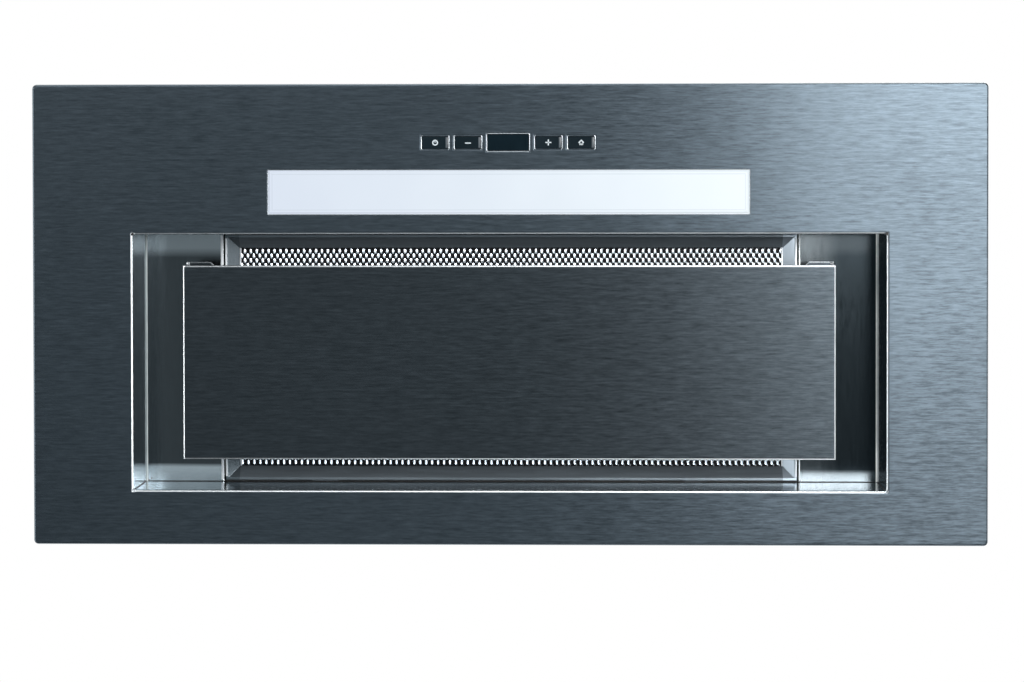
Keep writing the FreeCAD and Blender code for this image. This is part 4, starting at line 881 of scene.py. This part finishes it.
# %% [markdown]
# ## The whole sheet of mesh
# Two arrays repeat the bond, a copy half a step aside closes the net, and merging the
# doubles ties the strands to the bonds before the net gets its thickness.

# %% Expanded mesh
def expanded_mesh(name, node):
    """The whole sheet in the place of a node's plain one."""
    low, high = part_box(node)
    cell = bond_cell()
    counts = [int((high[axis] - low[axis]) / BOND_PITCH[axis]) - 1 for axis in (0, 1)]
    for axis, count in enumerate(counts):
        array = cell.modifiers.new("row", "ARRAY")
        array.count = count
        array.use_relative_offset = False
        array.use_constant_offset = True
        array.constant_offset_displace = [BOND_PITCH[axis] if axis == way else 0 for way in range(3)]
    apply_all(cell)
    half_step = Vector((*BOND_PITCH, 0)) / 2
    bpy.ops.object.duplicate_move(TRANSFORM_OT_translate={"value": half_step})
    joined([cell, bpy.context.object])
    cell.location = (low + high) / 2
    for axis, count in enumerate(counts):
        cell.location[axis] -= (count - 0.5) * half_step[axis]
    settle(cell)
    edit(cell)
    tidy(0.02 * MM)
    thicken(cell, MESH_SHEET, 0)
    apply_all(cell)
    cell.name = name
    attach(cell, "filter")
    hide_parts(node)
    print(name, "columns and rows", counts, "faces", len(cell.data.polygons))


expanded_mesh("filter_expanded_mesh", "filter_front_mesh")

# %% [markdown]
# ## Bends between recess walls and recess floor
# The end walls of the recess turn into its floor in a tight bend that catches a bright
# line. The solids meet there in a sharp corner, so a quarter-round lining is added: a
# narrow plane, its outer edge extruded down as the wall leg, and the fold bevelled
# until only the round is left. Its light colour is a painted highlight, dimmer on the
# left bend and clearer on the right.

# %% Recess bends
RECESS_HALF = 236.5 * MM
RECESS_FRONT, RECESS_REAR = -50.5 * MM, 110.5 * MM
BEND_RADIUS, BEND_SHEET = 0.75 * MM, 0.1 * MM
SKIN_GAP = 0.02 * MM
SIDES = (("left", -1), ("right", 1))
# Painted highlights of bends and beads: light, dimmer on the left bend, clearest on the right bend.
BENDS = {"highlight_bend": (0.70, 0.74, 0.78), "dim_highlight_bend": (0.36, 0.40, 0.41),
         "strong_highlight_bend": (0.90, 0.90, 0.88)}
floor_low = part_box("recess_floor")[0]
recess_middle = (RECESS_FRONT + RECESS_REAR) / 2
for name, colour in BENDS.items():
    plated(name, colour, 0.4, metallic=0.3)


def recess_bend(name, side, made):
    """Quarter-round lining along the end wall on one side."""
    wall = side * (RECESS_HALF - BEND_SHEET)
    top = floor_low.z - BEND_SHEET
    strip = slab(BEND_RADIUS, RECESS_REAR - RECESS_FRONT - 2 * BEND_SHEET,
                 (wall - side * BEND_RADIUS / 2, recess_middle, top))
    edit(strip)
    pick(strip, "edges", lambda edge: abs(middle_of(edge).x - wall) < SKIN_GAP)
    extrude((0, 0, -BEND_RADIUS))
    pick(strip, "edges", lambda edge: abs(middle_of(edge).x - wall) < SKIN_GAP
         and abs(middle_of(edge).z - top) < SKIN_GAP)
    bpy.ops.mesh.bevel(offset=BEND_RADIUS * 0.99, segments=8)
    tidy(SKIN_GAP)
    thicken(strip, BEND_SHEET, 0)
    hand_over(strip, name, made=made)


recess_bend("recess_bend_left", -1, "dim_highlight_bend")
recess_bend("recess_bend_right", 1, "strong_highlight_bend")

# %% [markdown]
# ## Relief holes and corner seams
# Where two bends meet, the blank has a small round hole, so that the sheet does not
# tear, and the walls meet in an open seam. The holes are discs set into the mouth's
# front corners, and each seam is a narrow strip up the rear corner. Both are black
# sheets of painted shade, for the unlit space behind the fascia that they open into.

# %% Relief holes and seams
RELIEF_RADIUS, RELIEF_LEVEL, RELIEF_ASIDE = 1.2 * MM, 0.15 * MM, 0.4 * MM
SEAM_WIDTH, SEAM_FOOT, SEAM_SHEET = 0.8 * MM, 1.6 * MM, 0.05 * MM


def disc(points, radius, place, border):
    """A flat disc or polygon, open for editing, its middle inset by a border and selected."""
    made = start(bpy.ops.mesh.primitive_circle_add, vertices=points, radius=radius,
                 fill_type="NGON", location=place)
    settle(made)
    edit(made)
    bpy.ops.mesh.inset(thickness=border)
    return made


def relief_hole(name, side):
    """A black disc of painted shade with a sunk middle in one front corner of the recess mouth."""
    place = (side * (RECESS_HALF + RELIEF_ASIDE), RECESS_FRONT - RELIEF_ASIDE, RELIEF_LEVEL)
    hole = disc(24, RELIEF_RADIUS, place, RELIEF_RADIUS / 4)
    bpy.ops.transform.translate(value=(0, 0, RELIEF_LEVEL))
    tidy()
    hand_over(hole, name, made="shade_black")


def corner_seam(name, side):
    """A black strip of painted shade across one rear corner, from the mouth up to the recess floor."""
    strip = slab(SEAM_WIDTH, floor_low.z - SEAM_FOOT, (0, 0, 0))
    strip.rotation_euler = (math.pi / 2, 0, -side * math.pi / 4)
    strip.location = (side * (RECESS_HALF - SEAM_WIDTH / 3), RECESS_REAR - SEAM_WIDTH / 3,
                      (SEAM_FOOT + floor_low.z) / 2)
    settle(strip)
    edit(strip)
    pick(strip, "edges", lambda edge: abs(middle_of(edge).z - SEAM_FOOT) < SKIN_GAP)
    bpy.ops.mesh.bevel(offset=SEAM_WIDTH / 4, segments=3, affect="VERTICES")
    leave()
    thicken(strip, SEAM_SHEET, 0)
    hand_over(strip, name, made="shade_black")


for side_name, side in SIDES:
    relief_hole("relief_hole_" + side_name, side)
    corner_seam("corner_seam_" + side_name, side)

# %% [markdown]
# ## Bright edges of the well and of the filter
# The floor turns up round the filter in a tight bend, and the filter's frame has rolled
# edges. At the short ends these catch the light as thin white lines, so each gets a low
# bead of its own in the light colour of a painted highlight: on the well's edge, on the
# frame's rim and at the mesh's end. The rear fold of the recess is a bead too, in black
# as painted shade.

# %% Beads on folds and edges
BEAD_SHEET, BEAD_ROUND = 0.12 * MM, 0.054 * MM
REAR_LINE = 0.5 * MM
WELL_HALF, FILTER_HALF, WINDOW_HALF = 186.1 * MM, 184.9 * MM, 176.4 * MM
WELL_BEADS = {-1: 1.7 * MM, 1: 0.8 * MM}
FRAME_BEAD, WINDOW_BEAD = 1.15 * MM, 1.0 * MM
frame_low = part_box("filter_frame")[0]
mesh_low, mesh_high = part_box("filter_front_mesh")
frame_depth = 2 * (recess_middle - frame_low.y)


def bead(name, middle, width, depth, body="hood", made="highlight_bend"):
    """A low rounded strip of metal, half sunk into the face whose level it is given, by default in the
    colour of a painted highlight.
    """
    strip = slab(width, depth, middle)
    thicken(strip, BEAD_SHEET, 0)
    round_edges(strip, BEAD_ROUND, 2)
    hand_over(strip, name, body, made)


# The rear fold: a black strip of painted shade.
bead("rear_fold_line", (0, RECESS_REAR - REAR_LINE / 2, floor_low.z),
     2 * RECESS_HALF - 2 * BEND_RADIUS, REAR_LINE, made="shade_black")
for side_name, side in SIDES:
    well_bead = WELL_BEADS[side]
    bead("well_edge_" + side_name, (side * (WELL_HALF + well_bead / 2), recess_middle, floor_low.z),
         well_bead, frame_depth)
    bead("frame_edge_" + side_name,
         (side * (FILTER_HALF - FRAME_BEAD / 2), recess_middle, frame_low.z),
         FRAME_BEAD, frame_depth - 4 * FRAME_BEAD, "filter")
    bead("window_edge_" + side_name,
         (side * (WINDOW_HALF - WINDOW_BEAD / 2), recess_middle, mesh_low.z),
         WINDOW_BEAD, mesh_high.y - mesh_low.y - 1 * MM, "filter")

# %% [markdown]
# ## Rims of the buttons and of the display
# Each button sits in a slim chromed rim whose short ends stand out as bright brackets.
# Its long bars take the fascia's darker steel, painted shade that makes them read as dark
# hairlines. A plane is inset and its middle deleted, then the ring is thickened and its
# edges are rounded. A broader ring behind the fascia is the flange that holds it.

# %% Ring and flange
RIM_WIDTH, RIM_SPAN = 18.0 * MM, 9.2 * MM
RIM_WALL, DISPLAY_RIM_WALL = 0.62 * MM, 0.55 * MM
RIM_DEPTH, RIM_ROUND = 1.0 * MM, 0.25 * MM
RIM_FLANGE, RIM_FLANGE_SHEET = 0.9 * MM, 1.2 * MM
CORNER_ROUND = 1.0 * MM


def ring(middle, width, span, wall, low, height):
    """A rounded rectangular ring with its foot at a level."""
    band = slab(width, span, (middle.x, middle.y, low))
    edit(band)
    bpy.ops.mesh.bevel(offset=CORNER_ROUND, segments=4, affect="VERTICES")
    bpy.ops.mesh.select_all(action="SELECT")
    bpy.ops.mesh.inset(thickness=wall)
    bpy.ops.mesh.delete(type="ONLY_FACE")
    bpy.ops.mesh.select_all(action="SELECT")
    extrude((0, 0, height))
    tidy()
    return band


def rim(middle, width, span, wall):
    """The visible ring and the flange behind the sheet."""
    front = ring(middle, width, span, wall, 0, RIM_DEPTH)
    round_edges(front, RIM_ROUND)
    apply_all(front)
    flange = ring(middle, width + 2 * RIM_FLANGE, span + 2 * RIM_FLANGE, wall + RIM_FLANGE,
                  RIM_DEPTH, RIM_FLANGE_SHEET)
    return joined([front, flange])


# %% Rims of the buttons and of the display
RIM_RETURN = 1.4 * MM
BUTTONS = ("power", "minus", "plus", "light")
rims = []
for key in BUTTONS:
    low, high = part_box("button_" + key)
    middle = (low + high) / 2
    one = rim(middle, RIM_WIDTH, RIM_SPAN, RIM_WALL)
    paint(one, "bezel_chrome", "rim_bar_shade_steel")
    # The ends keep the chrome; the long bars take the darker steel as painted shade.
    for face in one.data.polygons:
        end_side = abs(face.center.x - middle.x) > RIM_WIDTH / 2 - RIM_RETURN
        face.material_index = 0 if end_side else 1
    rims.append(one)
hand_over(joined(rims), "button_rims", "hood", replaced="button_bezels")
low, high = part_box("display_bezel")
display_rim = rim((low + high) / 2, high.x - low.x - 2 * RIM_FLANGE, high.y - low.y - 2 * RIM_FLANGE,
                  DISPLAY_RIM_WALL)
hand_over(display_rim, "display_rim", "hood", "bezel_chrome",
          replaced="display_bezel")

# %% [markdown]
# ## Marks and finger lips of the buttons
# Each cap carries a plain printed mark: a ring with a notch for power, a minus, a plus
# and a small lamp shape. They are flat shapes, thickened by a few hundredths of a
# millimetre like a screen print. A lip at each cap's right end shows the finger where
# to press.

# %% Shapes of the marks
PRINT_SHEET = 0.04 * MM
RING_REACH, RING_STROKE = 1.85 * MM, 0.72 * MM
# Each row: the corners of the ring, 0 for none, and the bars' x, y, length, width and turn,
# in millimetres and degrees.
MARKS = {
    "power": (32, ((-0.45, -0.55, 1.1, 0.35, 45), (0.45, -0.55, 1.1, 0.35, -45))),
    "minus": (0, ((0, 0.3, 3.7, 0.72, 0),)),
    "plus": (0, ((0, 0, 3.7, 0.72, 0), (0, 0, 3.7, 0.72, 90))),
    "light": (4, ((-0.75, 1.1, 1.3, 0.5, -60), (0.75, 1.1, 1.3, 0.5, 60))),
}


def bar(place, length, width, turn):
    """A short flat bar with cut corners."""
    made = slab(length, width, place, turn)
    edit(made)
    bpy.ops.mesh.bevel(offset=width / 4, segments=2, affect="VERTICES")
    leave()
    return made


def mark(middle, corners, bars):
    """A printed mark of a hollow ring or polygon and some bars."""
    shapes = []
    if corners:
        shapes.append(disc(corners, RING_REACH, middle, RING_STROKE))
        bpy.ops.mesh.delete(type="FACE")
        leave()
    for x, y, length, width, turn in bars:
        place = middle + Vector((x, y, 0)) * MM
        shapes.append(bar(place, length * MM, width * MM, math.radians(turn)))
    flat = joined(shapes)
    thicken(flat, PRINT_SHEET, -1)
    apply_all(flat)
    edit(flat)
    tidy(0.001 * MM)
    return flat


# %% Marks and lips on the caps
LIP_NEAR, LIP_FAR = 6.6 * MM, 7.9 * MM
LIP_SPAN, LIP_HEIGHT = 6.6 * MM, 0.1 * MM
cap_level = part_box("button_power")[0].z
print("caps lie", round(cap_level / MM, 2), "mm above the fascia's face")


def finger_lip(middle):
    """A low ridge near the right end of a cap."""
    lip = slab(LIP_FAR - LIP_NEAR, LIP_SPAN,
               (middle.x + (LIP_NEAR + LIP_FAR) / 2, middle.y, cap_level - LIP_HEIGHT))
    edit(lip)
    extrude((0, 0, LIP_HEIGHT))
    tidy()
    round_edges(lip, LIP_HEIGHT / 2, 2)
    return lip


for key in BUTTONS:
    low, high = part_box("button_" + key)
    middle = Vector(((low.x + high.x) / 2, (low.y + high.y) / 2, cap_level))
    hand_over(mark(middle, *MARKS[key]), key + "_mark", key + "_button", "symbol_grey")
    hand_over(finger_lip(middle), key + "_lip", key + "_button", "lip_black")

# %% [markdown]
# ## Copies of the frame's solids
# Some pieces start from a node's own solid. Its mesh is loose triangles, so a copy is
# merged and its flat faces are made whole before an edge of it can be bevelled, and a
# node of several solids comes apart into one object for each.

# %% Copies of the frame's solids
def merged_copy(node):
    """A copy of a node with its loose triangles merged and its flat faces whole."""
    twin = added("twin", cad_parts[node].data.copy())
    edit(twin)
    bpy.ops.mesh.remove_doubles(threshold=0.005 * MM)
    bpy.ops.mesh.dissolve_limited(angle_limit=math.radians(1))
    leave()
    return twin


def ends_of(thing):
    """The lowest and the highest corner of an object's mesh."""
    spots = [corner.co for corner in thing.data.vertices]
    return [Vector(end(spot[axis] for spot in spots) for axis in range(3)) for end in (min, max)]


def separated(node):
    """Merged copies of a node's separate solids, from left to right."""
    edit(merged_copy(node))
    bpy.ops.mesh.separate(type="LOOSE")
    leave()
    return sorted(bpy.context.selected_objects, key=lambda part: ends_of(part)[0].x)


# %% [markdown]
# ## Screws and nuts
# The casings are held by pan-head screws with a cross recess, and the lower one by
# hexagon nuts on the fascia's studs. The frame has them as plain discs and prisms. One
# of each is modelled, with its recess or bore cut by a boolean, and a copy with its own
# mesh goes to every solid of the node that the group replaces.

# %% One screw and one nut
HEAD_RADIUS, HEAD_HEIGHT, HEAD_ROUND = 3.0 * MM, 2.0 * MM, 0.8 * MM
SHANK_RADIUS, SHANK_LENGTH = 1.5 * MM, 6.0 * MM
CROSS_LENGTH, CROSS_WIDTH, CROSS_DEPTH = 3.6 * MM, 0.8 * MM, 1.1 * MM
NUT_RADIUS, NUT_HEIGHT, NUT_BORE, NUT_ROUND = 4.0 * MM, 3.2 * MM, 2.1 * MM, 0.5 * MM
ROUND_CORNERS = 24


def prism(corners, radius, height, foot=0.0):
    """A prism that stands on a level, to be shaped."""
    made = start(bpy.ops.mesh.primitive_cylinder_add, vertices=corners, radius=radius,
                 depth=height, location=(0, 0, foot + height / 2))
    settle(made)
    return made


def round_top(thing, level, width, segments):
    """Round the edges that lie on a level, and leave the mesh open for editing."""
    edit(thing)
    pick(thing, "edges", lambda edge: min(corner.co.z for corner in edge.verts) > level - SKIN_GAP)
    bpy.ops.mesh.bevel(offset=width, segments=segments)


def cut(thing, tool):
    """Cut one object out of another and remove the tool."""
    cutter = thing.modifiers.new("cut", "BOOLEAN")
    cutter.operation = "DIFFERENCE"
    cutter.object = tool
    apply_all(thing)
    bpy.data.objects.remove(tool)


def pan_head_screw():
    """A screw whose head sits on the level 0 and points up."""
    screw = prism(ROUND_CORNERS, HEAD_RADIUS, HEAD_HEIGHT)
    round_top(screw, HEAD_HEIGHT, HEAD_ROUND, 3)
    pick(screw, "faces", lambda face: max(corner.co.z for corner in face.verts) < SKIN_GAP)
    bpy.ops.mesh.inset(thickness=HEAD_RADIUS - SHANK_RADIUS)
    extrude((0, 0, -SHANK_LENGTH))
    leave()
    for turn in (0, math.pi / 2):
        slot_bar = slab(CROSS_LENGTH, CROSS_WIDTH, (0, 0, HEAD_HEIGHT - CROSS_DEPTH), turn)
        thicken(slot_bar, 2 * CROSS_DEPTH)
        apply_all(slot_bar)
        cut(screw, slot_bar)
    return screw


def stud_nut():
    """A hexagon nut on the level 0 with rounded upper edges and a round bore."""
    nut = prism(6, NUT_RADIUS, NUT_HEIGHT)
    round_top(nut, NUT_HEIGHT, NUT_ROUND, 2)
    leave()
    cut(nut, prism(ROUND_CORNERS, NUT_BORE, 3 * NUT_HEIGHT, -NUT_HEIGHT))
    return nut


# %% A screw or nut at every place
SCREW_TURN = 0.7


def fasteners(name, node, master, height):
    """A copy of the master at every solid of a node, its head pointing away from the hood."""
    copies = []
    for count, solid in enumerate(separated(node)):
        low, high = ends_of(solid)
        bpy.data.objects.remove(solid)
        one = added(name, master.data.copy())
        one.location = (low + high) / 2
        if high.z - low.z > high.x - low.x:
            one.location.z = high.z - height
            one.rotation_euler.z = count * SCREW_TURN
        else:
            side = math.copysign(1, one.location.x)
            one.location.x = side * (max(abs(low.x), abs(high.x)) - height)
            one.rotation_euler.y = side * math.pi / 2
        settle(one)
        copies.append(one)
    print(name, "at", len(copies), "places")
    hand_over(joined(copies), name, "hood", "bright_zinc", replaced=node)


screw, nut = pan_head_screw(), stud_nut()
for group in ("box", "collar", "lid", "bracket"):
    fasteners(group + "_pan_screws", group + "_screws", screw, HEAD_HEIGHT)
fasteners("stud_nuts", "casing_nuts", nut, NUT_HEIGHT)
for master in (screw, nut):
    bpy.data.objects.remove(master)

# %% [markdown]
# ## Leaf springs of the latches
# A bowed leaf behind each finger grip pushes it outwards. When the grip slides in, the
# leaf is pressed flat against its two ends, so each leaf is a piece of its own with a
# mesh of its own, rides on the filter and gets its edges broken with a small bevel.

# %% Leaf springs
LEAF_BOW, LEAF_EDGE = 5.6 * MM, 0.08 * MM
for (side_name, side), leaf in zip(SIDES, separated("latch_springs")):
    low, high = ends_of(leaf)
    round_edges(leaf, LEAF_EDGE, 1, 60)
    hand_over(leaf, "latch_leaf_" + side_name, "filter", "spring_steel",
              replaced="latch_springs")
    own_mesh(leaf)

# %% [markdown]
# ## Moulded terminal box
# The terminal box and its lid are moulded, so their edges are round, which shows from
# above. A merged copy of each solid gets a bevel on its sharp edges. The size stays,
# because a bevel only takes material away.

# %% Moulded terminal box
for node, width in (("terminal_box", 0.8 * MM), ("terminal_lid", 0.9 * MM)):
    soft_copy = merged_copy(node)
    round_edges(soft_copy, width)
    hand_over(soft_copy, node + "_moulded", "hood", "terminal_plastic",
              replaced=node)
